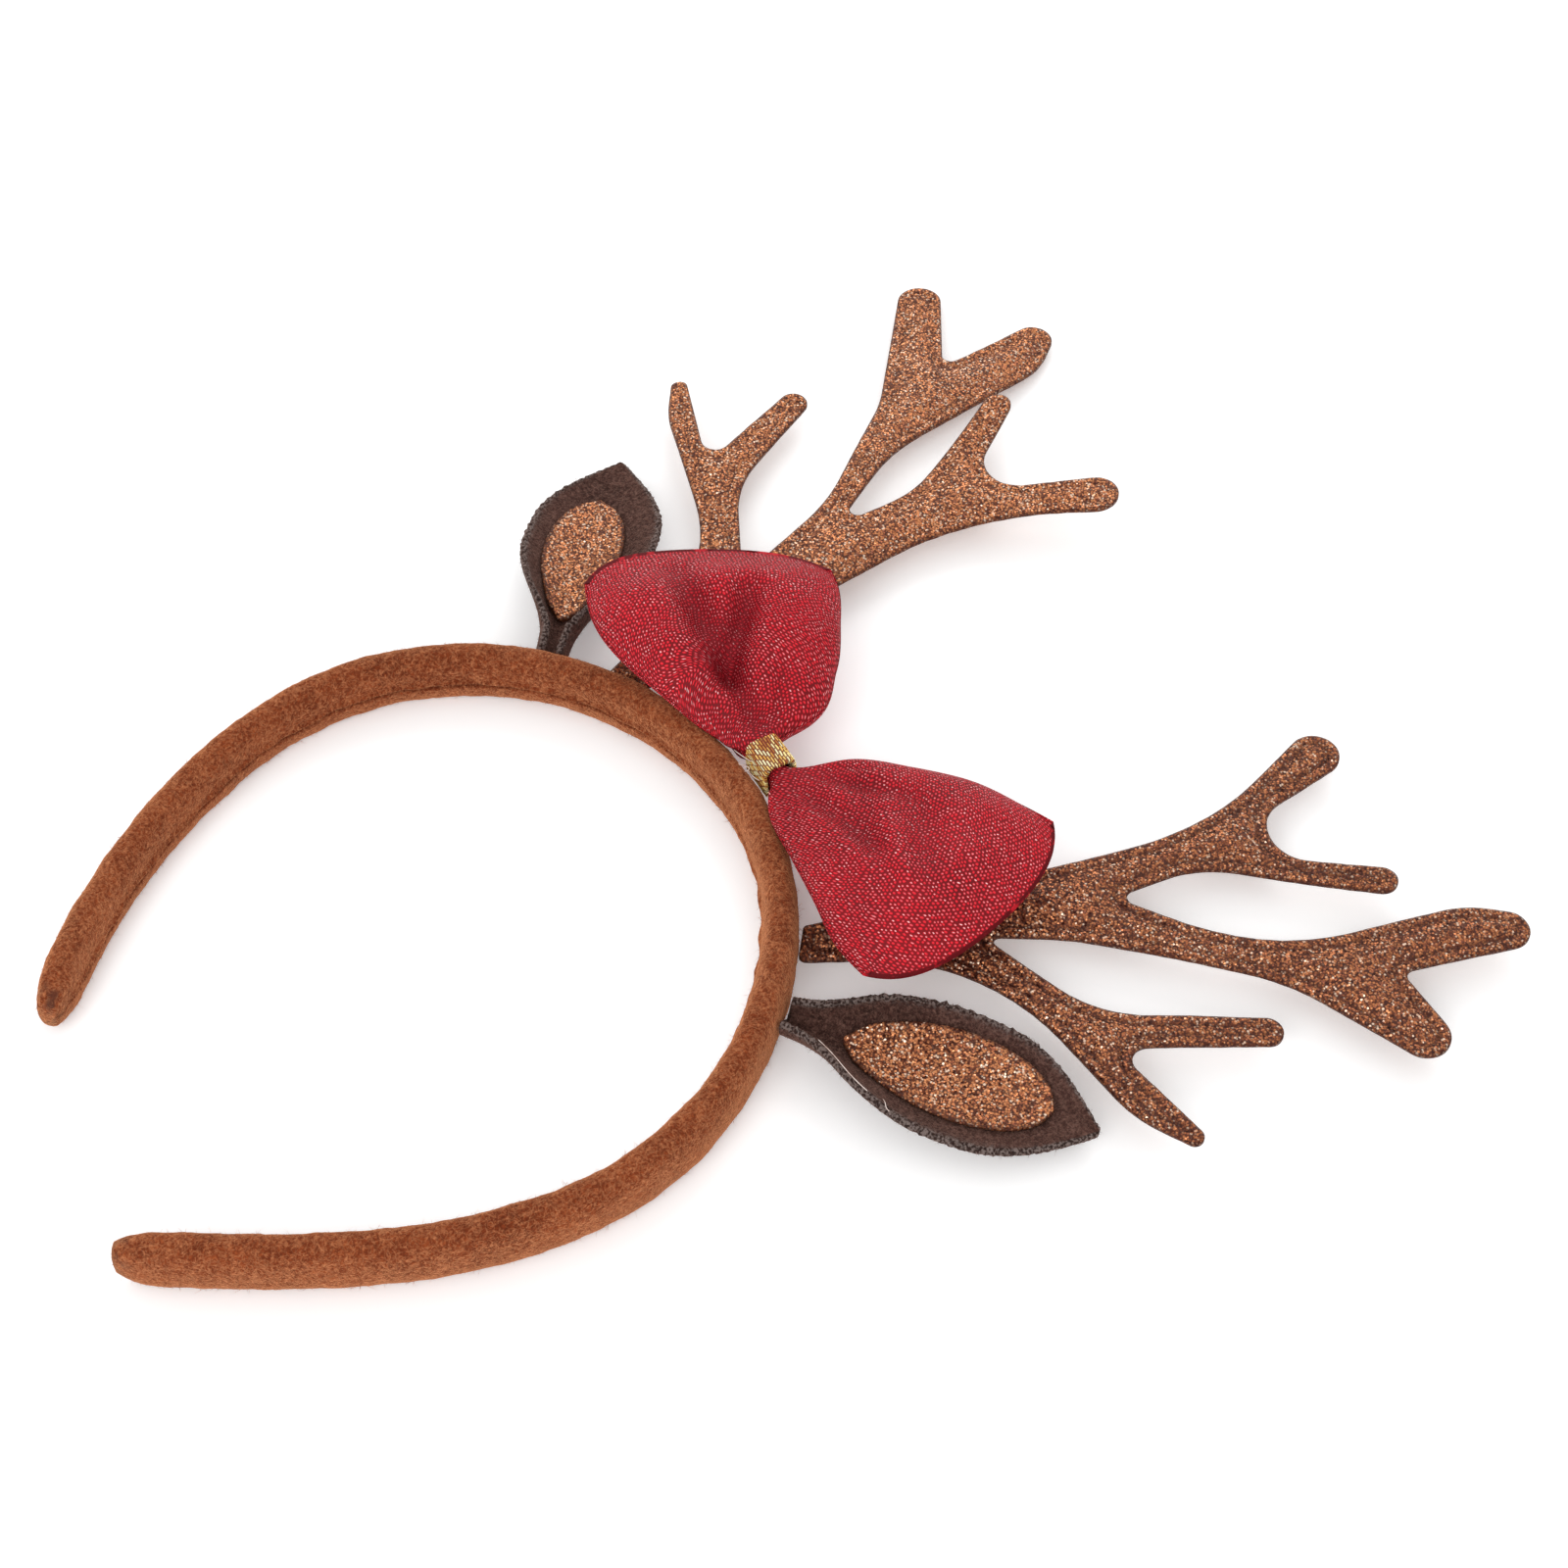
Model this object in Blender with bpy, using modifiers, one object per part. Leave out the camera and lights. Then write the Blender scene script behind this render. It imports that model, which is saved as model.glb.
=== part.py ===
"""Reindeer antler headband, lying on its rear edge with its front side up.

Metres, +Z up. The origin is on the underside of the band, below the middle of the crown.
+Y points from the crown to the antler tips. +X is the wearer's left.

Each half of the band is a curve given by its heading at a few shares of its length. An
antler's outline is a belt run round pulleys, so its tips and crotches are arcs and its
edges are straight or gently bowed. Ears and their inserts are cupped leaves. The bow is
a pillow drawn in at its waist, where a ribbon loop goes round it.
"""

import math

import bmesh
import bpy
import numpy as np

GAP = 0.0003                    # left between pieces that touch

BAND_HALF_LENGTH = 0.192        # from the crown to one end, along the middle of the band
BAND_THICKNESS = 0.0070         # from the head outwards, padding and felt
BAND_WIDTH = 0.0130             # from the front edge to the rear edge
BAND_REST = 0.0030              # width of the flat underside that the band rests on
BAND_END_ROUNDING = 0.007
BAND_STEP = 0.0046              # between one section of the band and the next
SEAM_DEPTH = 0.0007             # where the felt's edges meet, on the inner wall
SEAM_WIDTH = 0.0022

ANTLER_HEIGHT = 0.1255
ANTLER_WIDTH = 0.0833
ANTLER_THICKNESS = 0.0020
ANTLER_SEAT = 0.0375            # distance of the stem from the crown, along the band
ANTLER_CELL = 0.009             # size of the cells that let the antler bend
OUTLINE_FINEST = 0.0035         # the smaller, the more points on each arc
OUTLINE_MERGE = 0.002           # share of the height: points closer than this become one

EAR_LENGTH = 0.062
EAR_WIDTH = 0.0295              # of the felt laid flat
EAR_THICKNESS = 0.0016
EAR_BASE_HEIGHT = 0.0052        # of the leaf's middle line above the floor, at the band
EAR_TIP_HEIGHT = 0.0048
INSERT_LENGTH = 0.041
INSERT_WIDTH = 0.0205
INSERT_THICKNESS = 0.0010
INSERT_START = 0.0120           # from the ear's base

BOW_SPAN = 0.1215               # across both wings
BOW_DEPTH = 0.0520              # height of a wing, along Y
BOW_THICKNESS = 0.0140          # through the thickest part of a wing
WAIST_DEPTH = 0.0052
WAIST_THICKNESS = 0.0084
WAIST_HEIGHT = 0.0118           # of the waist's middle above the floor
RIBBON_WIDTH = 0.0078
RIBBON_THICKNESS = 0.0007

LEFT, RIGHT = 1, -1             # sides of X

# Half of the band's section: shares of half the thickness and half the width, from the
# flat underside to the middle of each wall.
OUTER_WALL = [(0.62, 0.97), (0.90, 0.72), (1.00, 0.30)]
INNER_WALL = [(0.58, 0.96), (0.86, 0.78), (0.98, 0.45)]
# Rings that round off a band end: share of the rounding, and size of the section there.
END_RINGS = [(0.40, 0.93), (0.72, 0.76), (0.92, 0.57), (1.00, 0.45)]

# Heading of each half of the band, in degrees down from level, at shares of its length.
LEG_SHARES = [0.0, 0.2, 0.4, 0.6, 0.8, 1.0]
LEG_HEADINGS = {
    LEFT: [0.0, 33.0, 61.5, 96.0, 116.0, 123.0],
    RIGHT: [0.0, 32.0, 69.0, 107.0, 127.0, 142.0],
}

# Pulleys of the antlers' outlines, anticlockwise from the foot of the stem, as seen from
# the front on the wearer's left. All are shares of the height, measured from the seat. A
# belt turns left round an outer pulley (1), which makes a tip or a bulge, and right round
# an inner one (-1), which makes a crotch or a waist. The two antlers are cut alike, but
# the soft limbs of the right one have sprung towards the middle.
PULLEYS = [
    # name               turn  radius   left x   left y   right x  right y
    ("foot_outer",        1,   0.010,   0.025,  -0.005,   0.025,  -0.005),
    ("stem_waist",       -1,   0.340,   0.375,  -0.085,   0.410,  -0.020),
    ("side_belly",        1,   0.200,   0.445,   0.465,   0.450,   0.550),
    ("side_outer_tip",    1,   0.015,   0.580,   0.330,   0.590,   0.420),
    ("side_crotch",      -1,   0.025,   0.440,   0.345,   0.435,   0.410),
    ("side_inner_tip",    1,   0.025,   0.480,   0.530,   0.455,   0.580),
    ("side_waist",       -1,   0.205,   0.195,   0.495,   0.170,   0.545),
    ("low_crotch",       -1,   0.010,   0.145,   0.270,   0.145,   0.315),
    ("trunk_outer",      -1,   0.340,   0.465,   0.165,   0.505,   0.335),
    ("main_waist",       -1,   0.280,   0.580,   0.375,   0.580,   0.515),
    ("main_outer_tip",    1,   0.040,   0.600,   0.730,   0.605,   0.935),
    ("main_crotch",      -1,   0.015,   0.510,   0.785,   0.445,   0.905),
    ("main_inner_tip",    1,   0.035,   0.505,   0.960,   0.415,   1.065),
    ("main_bulge",        1,   0.160,   0.585,   0.860,   0.490,   0.960),
    ("main_back",        -1,   0.400,   0.005,   0.850,  -0.110,   0.830),
    ("big_crotch",       -1,   0.015,   0.175,   0.500,   0.165,   0.545),
    ("branch_waist",     -1,   0.210,   0.375,   0.535,   0.360,   0.590),
    ("branch_outer_tip",  1,   0.025,   0.330,   0.855,   0.250,   0.880),
    ("branch_crotch",    -1,   0.065,   0.190,   0.815,   0.120,   0.850),
    ("branch_inner_tip",  1,   0.040,   0.070,   0.915,  -0.030,   0.905),
    ("trunk_inner",      -1,   0.435,  -0.335,   0.640,  -0.390,   0.590),
    ("foot_inner",        1,   0.010,  -0.015,   0.025,  -0.015,   0.025),
]

# Beyond the big crotch an antler is two limbs, the main one and the branch. They part at
# a heading from the crotch, in degrees from X, and the side limb lies below another. The
# rises of their tips and the distances along which they rise are shares of the height.
SIDE_LIMB_BELOW = 15.0
RISE_START = 0.115
RISE_REACH = 0.42
ANTLERS = {
    "antler_left": {"side": LEFT, "parting": 60.0, "main_rise": 0.004, "branch_rise": -0.004},
    "antler_right": {"side": RIGHT, "parting": 70.5, "main_rise": -0.028, "branch_rise": 0.043},
}

# An ear from base to tip: half width as a share of the half width of the flat leaf, and
# how far the felt is rolled up at each side, in degrees.
EAR_ROWS = [
    # share  half   roll
    (0.00,   0.26,  76.0),
    (0.08,   0.23,  70.0),
    (0.18,   0.38,  52.0),
    (0.32,   0.78,  32.0),
    (0.46,   0.98,  24.0),
    (0.58,   1.00,  19.0),
    (0.72,   0.91,  15.0),
    (0.85,   0.62,  11.0),
    (0.94,   0.30,   8.0),
    (1.00,   0.06,   6.0),
]
LEAF_STEPS = 15
LEAF_COLUMNS = 9
INSERT_ROWS = [
    # share  half
    (0.00,   0.06),
    (0.08,   0.36),
    (0.22,   0.72),
    (0.40,   0.96),
    (0.56,   1.00),
    (0.74,   0.84),
    (0.90,   0.48),
    (1.00,   0.10),
]
# The ears' places along the band, how far each leans from square to it (in degrees,
# towards the crown), and how much more than the table it is rolled up.
EARS = {
    "left": {"side": LEFT, "seat": 0.0545, "lean": -7.0, "cupped": 1.0},
    "right": {"side": RIGHT, "seat": 0.0530, "lean": -3.5, "cupped": 1.4},
}

# A bow wing from its waist to its outer edge. The places are shares of half the span (x)
# and of the wing's depth (y, from the waist's middle), the fullness is a share of the
# thickness, and the bulge is how far the row's middle stands out, a share of half the span.
WAIST = WAIST_DEPTH / 2 / BOW_DEPTH
WING_ROWS = {
    LEFT: [
        # share  low x   low y   high x  high y  bulge  fullness
        (0.00,   0.000, -WAIST,  0.000,  WAIST,  0.00,  0.60),
        (0.07,   0.070, -WAIST,  0.070,  WAIST,  0.00,  0.60),
        (0.18,   0.170, -0.080,  0.125,  0.230,  0.03,  0.66),
        (0.38,   0.380, -0.140,  0.280,  0.440,  0.06,  0.86),
        (0.60,   0.600, -0.215,  0.450,  0.600,  0.09,  1.00),
        (0.80,   0.780, -0.260,  0.580,  0.710,  0.12,  0.96),
        (1.00,   0.970, -0.250,  0.715,  0.815,  0.13,  0.30),
    ],
    RIGHT: [
        (0.00,   0.000, -WAIST,  0.000,  WAIST,  0.00,  0.60),
        (0.07,   0.070, -WAIST,  0.070,  WAIST,  0.00,  0.60),
        (0.18,   0.160, -0.075,  0.100,  0.200,  0.03,  0.66),
        (0.38,   0.360, -0.125,  0.230,  0.380,  0.05,  0.84),
        (0.60,   0.580, -0.205,  0.370,  0.510,  0.07,  1.00),
        (0.80,   0.770, -0.250,  0.490,  0.610,  0.09,  0.96),
        (1.00,   1.010, -0.235,  0.600,  0.680,  0.11,  0.30),
    ],
}
WING_LIFT = {LEFT: 0.0038, RIGHT: 0.0060}   # how far each wing rises above the waist
WAIST_SHARE = 0.07              # share of half the span that stays as narrow as the waist
WING_BELLY = 0.40               # share of the thickness that lies below the edge seam
WING_OPENING = 0.3              # share of a wing over which it opens from the waist
LIFT_REACH = 0.6                # share of a wing over which it rises
CORNER_SOFTNESS = 0.05          # how far a wing's corners are drawn in
CORNER_POWER = 6                # the higher, the shorter the stretch that is drawn in
RIM_POWER = 2.6                 # the higher, the blunter a wing's long edges
END_POWER = 5                   # the same for its outer edge
WING_RINGS = [0.0, WAIST_SHARE, 0.12, 0.18, 0.27, 0.36, 0.46, 0.56, 0.66, 0.76, 0.85, 0.92, 0.97, 1.0]
WING_COLUMNS = 13
LOOP_STEPS = 24                 # sides of the ribbon loop
LOOP_SQUARENESS = 0.55          # 1 is an ellipse, less is squarer
MERGE = 0.00001

FELT_BROWN = (0.36, 0.13, 0.05, 1.0)
FELT_DARK = (0.09, 0.045, 0.035, 1.0)
COPPER_GLITTER = (0.42, 0.20, 0.11, 1.0)
RED_KNIT = (0.55, 0.02, 0.05, 1.0)
GOLD_RIBBON = (0.75, 0.50, 0.15, 1.0)


def clear_scene():
    """Remove whatever the file holds."""
    for thing in list(bpy.data.objects):
        bpy.data.objects.remove(thing, do_unlink=True)


def material(name, colour, roughness, metallic=0.0):
    """A Principled material of one colour."""
    made = bpy.data.materials.new(name)
    made.use_nodes = True
    shader = made.node_tree.nodes["Principled BSDF"]
    shader.inputs["Base Color"].default_value = colour
    shader.inputs["Roughness"].default_value = roughness
    shader.inputs["Metallic"].default_value = metallic
    made.diffuse_color = colour
    return made


def add_object(name, mesh, finish, collection):
    """Put a mesh in the scene as a named object, shaded smooth up to its edges."""
    thing = bpy.data.objects.new(name, mesh)
    collection.objects.link(thing)
    mesh.materials.append(finish)
    mesh.shade_smooth()
    mesh.set_sharp_from_angle(angle=math.radians(40))
    return thing


def thicken(thing, thickness):
    """Give an open surface a wall, half of it on each side."""
    wall = thing.modifiers.new("wall", "SOLIDIFY")
    wall.thickness = thickness
    wall.offset = 0.0


def mesh_from_grid(name, points):
    """An open surface of quads through a grid of points (rows, columns, xyz)."""
    rows, columns = points.shape[:2]
    index = np.arange(rows * columns).reshape(rows, columns)
    corners = [index[:-1, :-1], index[:-1, 1:], index[1:, 1:], index[1:, :-1]]
    faces = np.stack(corners, axis=-1).reshape(-1, 4)
    mesh = bpy.data.meshes.new(name)
    mesh.from_pydata(points.reshape(-1, 3).tolist(), [], faces.tolist())
    return mesh


def through(shares, values, at):
    """A smooth curve through values given at shares, a cubic between each two of them."""
    shares, values = np.asarray(shares, float), np.asarray(values, float)
    slopes = np.gradient(values, shares)
    place = np.clip(np.searchsorted(shares, at, side="right") - 1, 0, len(shares) - 2)
    step = shares[place + 1] - shares[place]
    t = (at - shares[place]) / step
    rise = (1 + 2 * t) * (1 - t) ** 2 * values[place] + t * t * (3 - 2 * t) * values[place + 1]
    bend = t * (1 - t) ** 2 * slopes[place] - t * t * (1 - t) * slopes[place + 1]
    return rise + step * bend


def ease(t):
    """Ramp from 0 to 1 with level ends."""
    t = np.clip(t, 0.0, 1.0)
    return t * t * (3 - 2 * t)


def leg(side, steps=240):
    """Middle line of one half of the band: distance from the crown, x, y and heading."""
    share = np.linspace(0.0, 1.0, steps + 1)
    heading = np.radians(through(LEG_SHARES, LEG_HEADINGS[side], share))
    middle = (heading[1:] + heading[:-1]) / 2
    step = BAND_HALF_LENGTH / steps
    x = side * np.concatenate([[0.0], np.cumsum(np.cos(middle)) * step])
    y = -np.concatenate([[0.0], np.cumsum(np.sin(middle)) * step])
    return share * BAND_HALF_LENGTH, x, y, heading


def seat_on_band(side, distance):
    """Point just off the band's outer wall, at a distance from the crown, and the heading."""
    along, x, y, heading = leg(side)
    angle = np.interp(distance, along, heading)
    out = BAND_THICKNESS / 2 + GAP
    px = np.interp(distance, along, x) + side * math.sin(angle) * out
    py = np.interp(distance, along, y) + math.cos(angle) * out
    return px, py, angle


def band_section():
    """Closed curve of the band's section: outer wall at -x, seamed inner wall at +x."""
    half_t, half_w = BAND_THICKNESS / 2, BAND_WIDTH / 2
    outer = [(-x * half_t, -y * half_w) for x, y in OUTER_WALL]
    inner = [(x * half_t, -y * half_w) for x, y in INNER_WALL] + [(half_t, -SEAM_WIDTH / 2)]
    under = [(BAND_REST / 2, -half_w), (-BAND_REST / 2, -half_w)]
    lower = inner[::-1] + under + outer
    upper = [(x, -y) for x, y in reversed(lower)]
    return lower + upper + [(half_t - SEAM_DEPTH, 0.0)]


def poly_curve(name, points, cyclic=False):
    """A curve object of one straight-sided spline through the points."""
    curve = bpy.data.curves.new(name, "CURVE")
    curve.dimensions = "3D"
    spline = curve.splines.new("POLY")
    spline.points.add(len(points) - 1)
    for knot, place in zip(spline.points, points):
        knot.co = (*place, 1.0)
    spline.use_cyclic_u = cyclic
    return bpy.data.objects.new(name, curve)


def as_mesh(curve_object, name):
    """Mesh of a curve object, its caps welded on."""
    bpy.context.view_layer.update()
    evaluated = curve_object.evaluated_get(bpy.context.evaluated_depsgraph_get())
    mesh = bpy.data.meshes.new_from_object(evaluated)
    mesh.name = name
    work = bmesh.new()
    work.from_mesh(mesh)
    bmesh.ops.remove_doubles(work, verts=work.verts, dist=MERGE)
    bmesh.ops.recalc_face_normals(work, faces=work.faces)
    work.to_mesh(mesh)
    work.free()
    bpy.data.objects.remove(curve_object, do_unlink=True)
    return mesh


def make_band(collection, guides, finish):
    """The padded band: its section carried along both legs, drawn in at the ends."""
    rounding = min(BAND_END_ROUNDING, BAND_HALF_LENGTH / 4)
    even = np.linspace(0.0, BAND_HALF_LENGTH - rounding, round(BAND_HALF_LENGTH / BAND_STEP))
    ring_share, ring_size = np.array(END_RINGS).T
    distance = np.concatenate([even, BAND_HALF_LENGTH - rounding * (1 - ring_share)])
    size = np.concatenate([np.ones_like(even), ring_size])
    halves = []
    for side in (RIGHT, LEFT):
        along, x, y, _ = leg(side)
        halves.append(np.stack([np.interp(distance, along, x), np.interp(distance, along, y)], 1))
    middle = np.concatenate([halves[0][:0:-1], halves[1]])
    radius = np.concatenate([size[:0:-1], size])

    section = poly_curve("band_section", [(x, y, 0.0) for x, y in band_section()], cyclic=True)
    section.hide_render = True
    section.display_type = "WIRE"
    guides.objects.link(section)
    path = poly_curve("band_path", [(x, y, BAND_WIDTH / 2) for x, y in middle])
    collection.objects.link(path)
    for knot, width in zip(path.data.splines[0].points, radius):
        knot.radius = width
    path.data.twist_mode = "Z_UP"
    path.data.bevel_mode = "OBJECT"
    path.data.bevel_object = section
    path.data.use_fill_caps = True
    add_object("headband", as_mesh(path, "headband"), finish, collection)


def pulley_centres(side):
    """Centre of each pulley of one side's antler, by name, in shares of the height."""
    column = 3 if side == LEFT else 5
    return {row[0]: row[column:column + 2] for row in PULLEYS}


def belt(side):
    """Outline of the belt round one antler's pulleys, as an array of points.

    Between two pulleys the belt runs straight. With signed radii a and b and centres a
    distance apart, it leaves the line of centres by the angle whose sine is (a - b) over
    that distance. Round a pulley it is an arc between the two headings.
    """
    turns = [row[1] for row in PULLEYS]
    radii = [row[2] for row in PULLEYS]
    centres = list(pulley_centres(side).values())
    headings = []
    for place, (x, y) in enumerate(centres):
        after = (place + 1) % len(centres)
        dx, dy = centres[after][0] - x, centres[after][1] - y
        signed = turns[place] * radii[place] - turns[after] * radii[after]
        headings.append(math.atan2(dy, dx) + math.asin(signed / math.hypot(dx, dy)))
    points = []
    for place, (x, y) in enumerate(centres):
        turn, radius, start = turns[place], radii[place], headings[place - 1]
        sweep = (turn * (headings[place] - start)) % (2 * math.pi)
        steps = max(2, math.ceil(sweep * math.sqrt(radius / OUTLINE_FINEST)))
        for k in range(steps + 1):
            angle = start + turn * sweep * k / steps
            points.append((x + turn * radius * math.sin(angle), y - turn * radius * math.cos(angle)))
    return np.array(points)


def limb_height(x, y, style):
    """Height that the main limb and the branch add, eased from nothing to their tips."""
    root_x, root_y = pulley_centres(style["side"])["big_crotch"]
    heading = np.degrees(np.arctan2(y - root_y, x - root_x))
    eased = ease((np.hypot(x - root_x, y - root_y) - RISE_START) / RISE_REACH)
    on_main = (heading > SIDE_LIMB_BELOW) & (heading <= style["parting"])
    on_branch = (heading > style["parting"]) & (heading <= 180.0)
    return eased * (style["main_rise"] * on_main + style["branch_rise"] * on_branch)


def bend_antler(flat, style):
    """Place points of the flat outline (shares of the height) on the bent antler."""
    size_x, size_y = np.ptp(belt(LEFT), axis=0)
    seat_x, seat_y, _ = seat_on_band(style["side"], ANTLER_SEAT)
    x = seat_x + style["side"] * flat[:, 0] * ANTLER_WIDTH / size_x
    y = seat_y + flat[:, 1] * ANTLER_HEIGHT / size_y
    z = BAND_WIDTH / 2 + limb_height(flat[:, 0], flat[:, 1], style) * ANTLER_HEIGHT
    return np.stack([x, y, z], axis=1)


def make_antler(name, style, collection, finish):
    """One antler: a flat outline cut into cells, bent, and given its thickness."""
    work = bmesh.new()
    outline = belt(style["side"])
    work.faces.new([work.verts.new((x, y, 0.0)) for x, y in outline])
    low, high = outline.min(axis=0), outline.max(axis=0)
    cell = ANTLER_CELL / ANTLER_HEIGHT
    for axis, normal in enumerate(((1.0, 0.0, 0.0), (0.0, 1.0, 0.0))):
        for cut in np.arange(low[axis] + cell / 2, high[axis], cell):
            at = [cut * along for along in normal]
            everything = work.verts[:] + work.edges[:] + work.faces[:]
            bmesh.ops.bisect_plane(work, geom=everything, dist=1e-6, plane_co=at, plane_no=normal)
    bmesh.ops.remove_doubles(work, verts=work.verts, dist=OUTLINE_MERGE)
    bmesh.ops.triangulate(work, faces=work.faces)
    flat = np.array([v.co[:2] for v in work.verts])
    for vertex, place in zip(work.verts, bend_antler(flat, style)):
        vertex.co = place
    bmesh.ops.recalc_face_normals(work, faces=work.faces)
    mesh = bpy.data.meshes.new(name)
    work.to_mesh(mesh)
    work.free()
    antler = add_object(name, mesh, finish, collection)
    thicken(antler, ANTLER_THICKNESS)


def ear_surface(style, along, across, above):
    """Points of the cupped leaf.

    along is the distance from the base, across the distance from the middle line
    measured on the felt, and above the height over the felt's middle surface. The
    felt's section is an arc whose half angle is the roll at that share of the length.
    """
    table = np.array(EAR_ROWS)
    share = np.clip(along / EAR_LENGTH, 0.0, 1.0)
    half = through(table[:, 0], table[:, 1], share) * EAR_WIDTH / 2
    roll = np.radians(through(table[:, 0], table[:, 2], share)) * style["cupped"]
    radius = half / roll
    angle = across / radius
    sideways = (radius - above) * np.sin(angle)
    rise = radius - (radius - above) * np.cos(angle)
    middle = EAR_BASE_HEIGHT + (EAR_TIP_HEIGHT - EAR_BASE_HEIGHT) * ease(share)
    seat_x, seat_y, slope = seat_on_band(style["side"], style["seat"])
    heading = math.pi / 2 - slope + math.radians(style["lean"])
    x = along * math.cos(heading) - sideways * math.sin(heading)
    y = along * math.sin(heading) + sideways * math.cos(heading)
    return np.stack([seat_x + style["side"] * x, seat_y + y, middle + rise], axis=-1)


def leaf_grid(rows, length, width, start):
    """Grid over a leaf: distance from the ear's base, and distance from its middle line."""
    table = np.array(rows)
    share = np.linspace(0.0, 1.0, LEAF_STEPS)
    half = through(table[:, 0], table[:, 1], share) * width / 2
    along = start + share * length
    side = np.linspace(-1.0, 1.0, LEAF_COLUMNS)
    return np.broadcast_to(along[:, None], (LEAF_STEPS, LEAF_COLUMNS)), half[:, None] * side


def make_ear(name, style, collection, felt, glitter):
    """One ear and its insert, the insert lying on the felt's front."""
    foot = EAR_ROWS[0][1] * EAR_WIDTH / 2 * abs(math.sin(math.radians(style["lean"])))
    ear_along, ear_across = leaf_grid(EAR_ROWS, EAR_LENGTH - foot, EAR_WIDTH, foot)
    surface = ear_surface(style, ear_along, ear_across, 0.0)
    ear = add_object("ear_" + name, mesh_from_grid("ear_" + name, surface), felt, collection)
    thicken(ear, EAR_THICKNESS)
    above = EAR_THICKNESS / 2 + GAP + INSERT_THICKNESS / 2
    along, across = leaf_grid(INSERT_ROWS, INSERT_LENGTH, INSERT_WIDTH, INSERT_START)
    surface = ear_surface(style, along, across, above)
    node = "ear_insert_" + name
    insert = add_object(node, mesh_from_grid(node, surface), glitter, collection)
    thicken(insert, INSERT_THICKNESS)


def wing_surface(side, out, across):
    """Edge-plane place and half fullness of a wing at (out, across).

    out runs from 0 at the waist to 1 at the outer edge, across from -1 to 1 along Y. A
    row of the table gives the two ends of its line, which bows outwards in the middle.
    """
    table = np.array(WING_ROWS[side])
    drawn_out = out * (1 - CORNER_SOFTNESS * np.abs(across) ** CORNER_POWER)
    drawn_across = across * (1 - CORNER_SOFTNESS * out ** CORNER_POWER)
    low_x, low_y, high_x, high_y, bulge, full = (
        through(table[:, 0], table[:, k], drawn_out) for k in range(1, 7))
    t = (drawn_across + 1) / 2
    lean = np.arctan2(high_x - low_x, high_y - low_y)
    x = low_x + (high_x - low_x) * t + bulge * (1 - drawn_across ** 2) * np.cos(lean)
    y = low_y + (high_y - low_y) * t
    rim = np.sqrt(np.clip(1 - np.abs(across) ** RIM_POWER, 0.0, 1.0))
    waist = WAIST_THICKNESS / BOW_THICKNESS
    full = full + (waist - table[0, 6]) * (1 - ease((out - WAIST_SHARE) / WING_OPENING))
    end = np.sqrt(np.clip(1 - out ** END_POWER, 0.0, 1.0))
    return x * BOW_SPAN / 2, y * BOW_DEPTH, full * rim * end


def bow_points(side, out, across):
    """Upper and lower points of the bow at (out, across)."""
    x, y, full = wing_surface(side, out, across)
    middle = WAIST_HEIGHT + WING_LIFT[side] * ease((out - WAIST_SHARE) / LIFT_REACH)
    centre_y = BAND_THICKNESS / 2 + GAP + RIBBON_THICKNESS + GAP + WAIST_DEPTH / 2
    belly = 0.5 + (WING_BELLY - 0.5) * ease((out - WAIST_SHARE) / WING_OPENING)
    upper = middle + full * BOW_THICKNESS * (1 - belly)
    lower = middle - full * BOW_THICKNESS * belly
    return np.stack([side * x, centre_y + y, upper], -1), np.stack([side * x, centre_y + y, lower], -1)


def make_bow(collection, finish):
    """The bow: rings that go over the front and back of each wing, joined at the waist."""
    out = np.array(WING_RINGS)
    across = -np.cos(np.linspace(0.0, math.pi, WING_COLUMNS))
    rings = []
    for side, order in ((RIGHT, out[:0:-1]), (LEFT, out)):
        grid_out, grid_across = np.meshgrid(order, across, indexing="ij")
        upper, lower = bow_points(side, grid_out, grid_across)
        rings.append(np.concatenate([upper, lower[:, -2:0:-1]], axis=1))
    rings = np.concatenate(rings)
    work = bmesh.new()
    work.from_mesh(mesh_from_grid("bow", np.concatenate([rings, rings[:, :1]], axis=1)))
    bmesh.ops.remove_doubles(work, verts=work.verts, dist=MERGE)
    bmesh.ops.recalc_face_normals(work, faces=work.faces)
    mesh = bpy.data.meshes["bow"]
    work.to_mesh(mesh)
    work.free()
    add_object("bow", mesh, finish, collection)


def make_bow_band(collection, finish):
    """The ribbon loop round the waist: a rounded rectangle, drawn out along X."""
    half_y = WAIST_DEPTH / 2 + GAP + RIBBON_THICKNESS / 2
    half_z = WAIST_THICKNESS / 2 + GAP + RIBBON_THICKNESS / 2
    centre_y = BAND_THICKNESS / 2 + GAP + RIBBON_THICKNESS / 2 + half_y
    points = []
    for k in range(LOOP_STEPS):
        c = math.cos(2 * math.pi * k / LOOP_STEPS)
        s = math.sin(2 * math.pi * k / LOOP_STEPS)
        y = half_y * math.copysign(abs(c) ** LOOP_SQUARENESS, c)
        z = half_z * math.copysign(abs(s) ** LOOP_SQUARENESS, s)
        points.append((y, z, 0.0))
    loop = poly_curve("bow_band", points, cyclic=True)
    loop.data.extrude = RIBBON_WIDTH / 2
    collection.objects.link(loop)
    mesh = as_mesh(loop, "bow_band")
    for vertex in mesh.vertices:
        y, z, x = vertex.co
        vertex.co = (x, centre_y + y, WAIST_HEIGHT + z)
    thicken(add_object("bow_band", mesh, finish, collection), RIBBON_THICKNESS)


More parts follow.
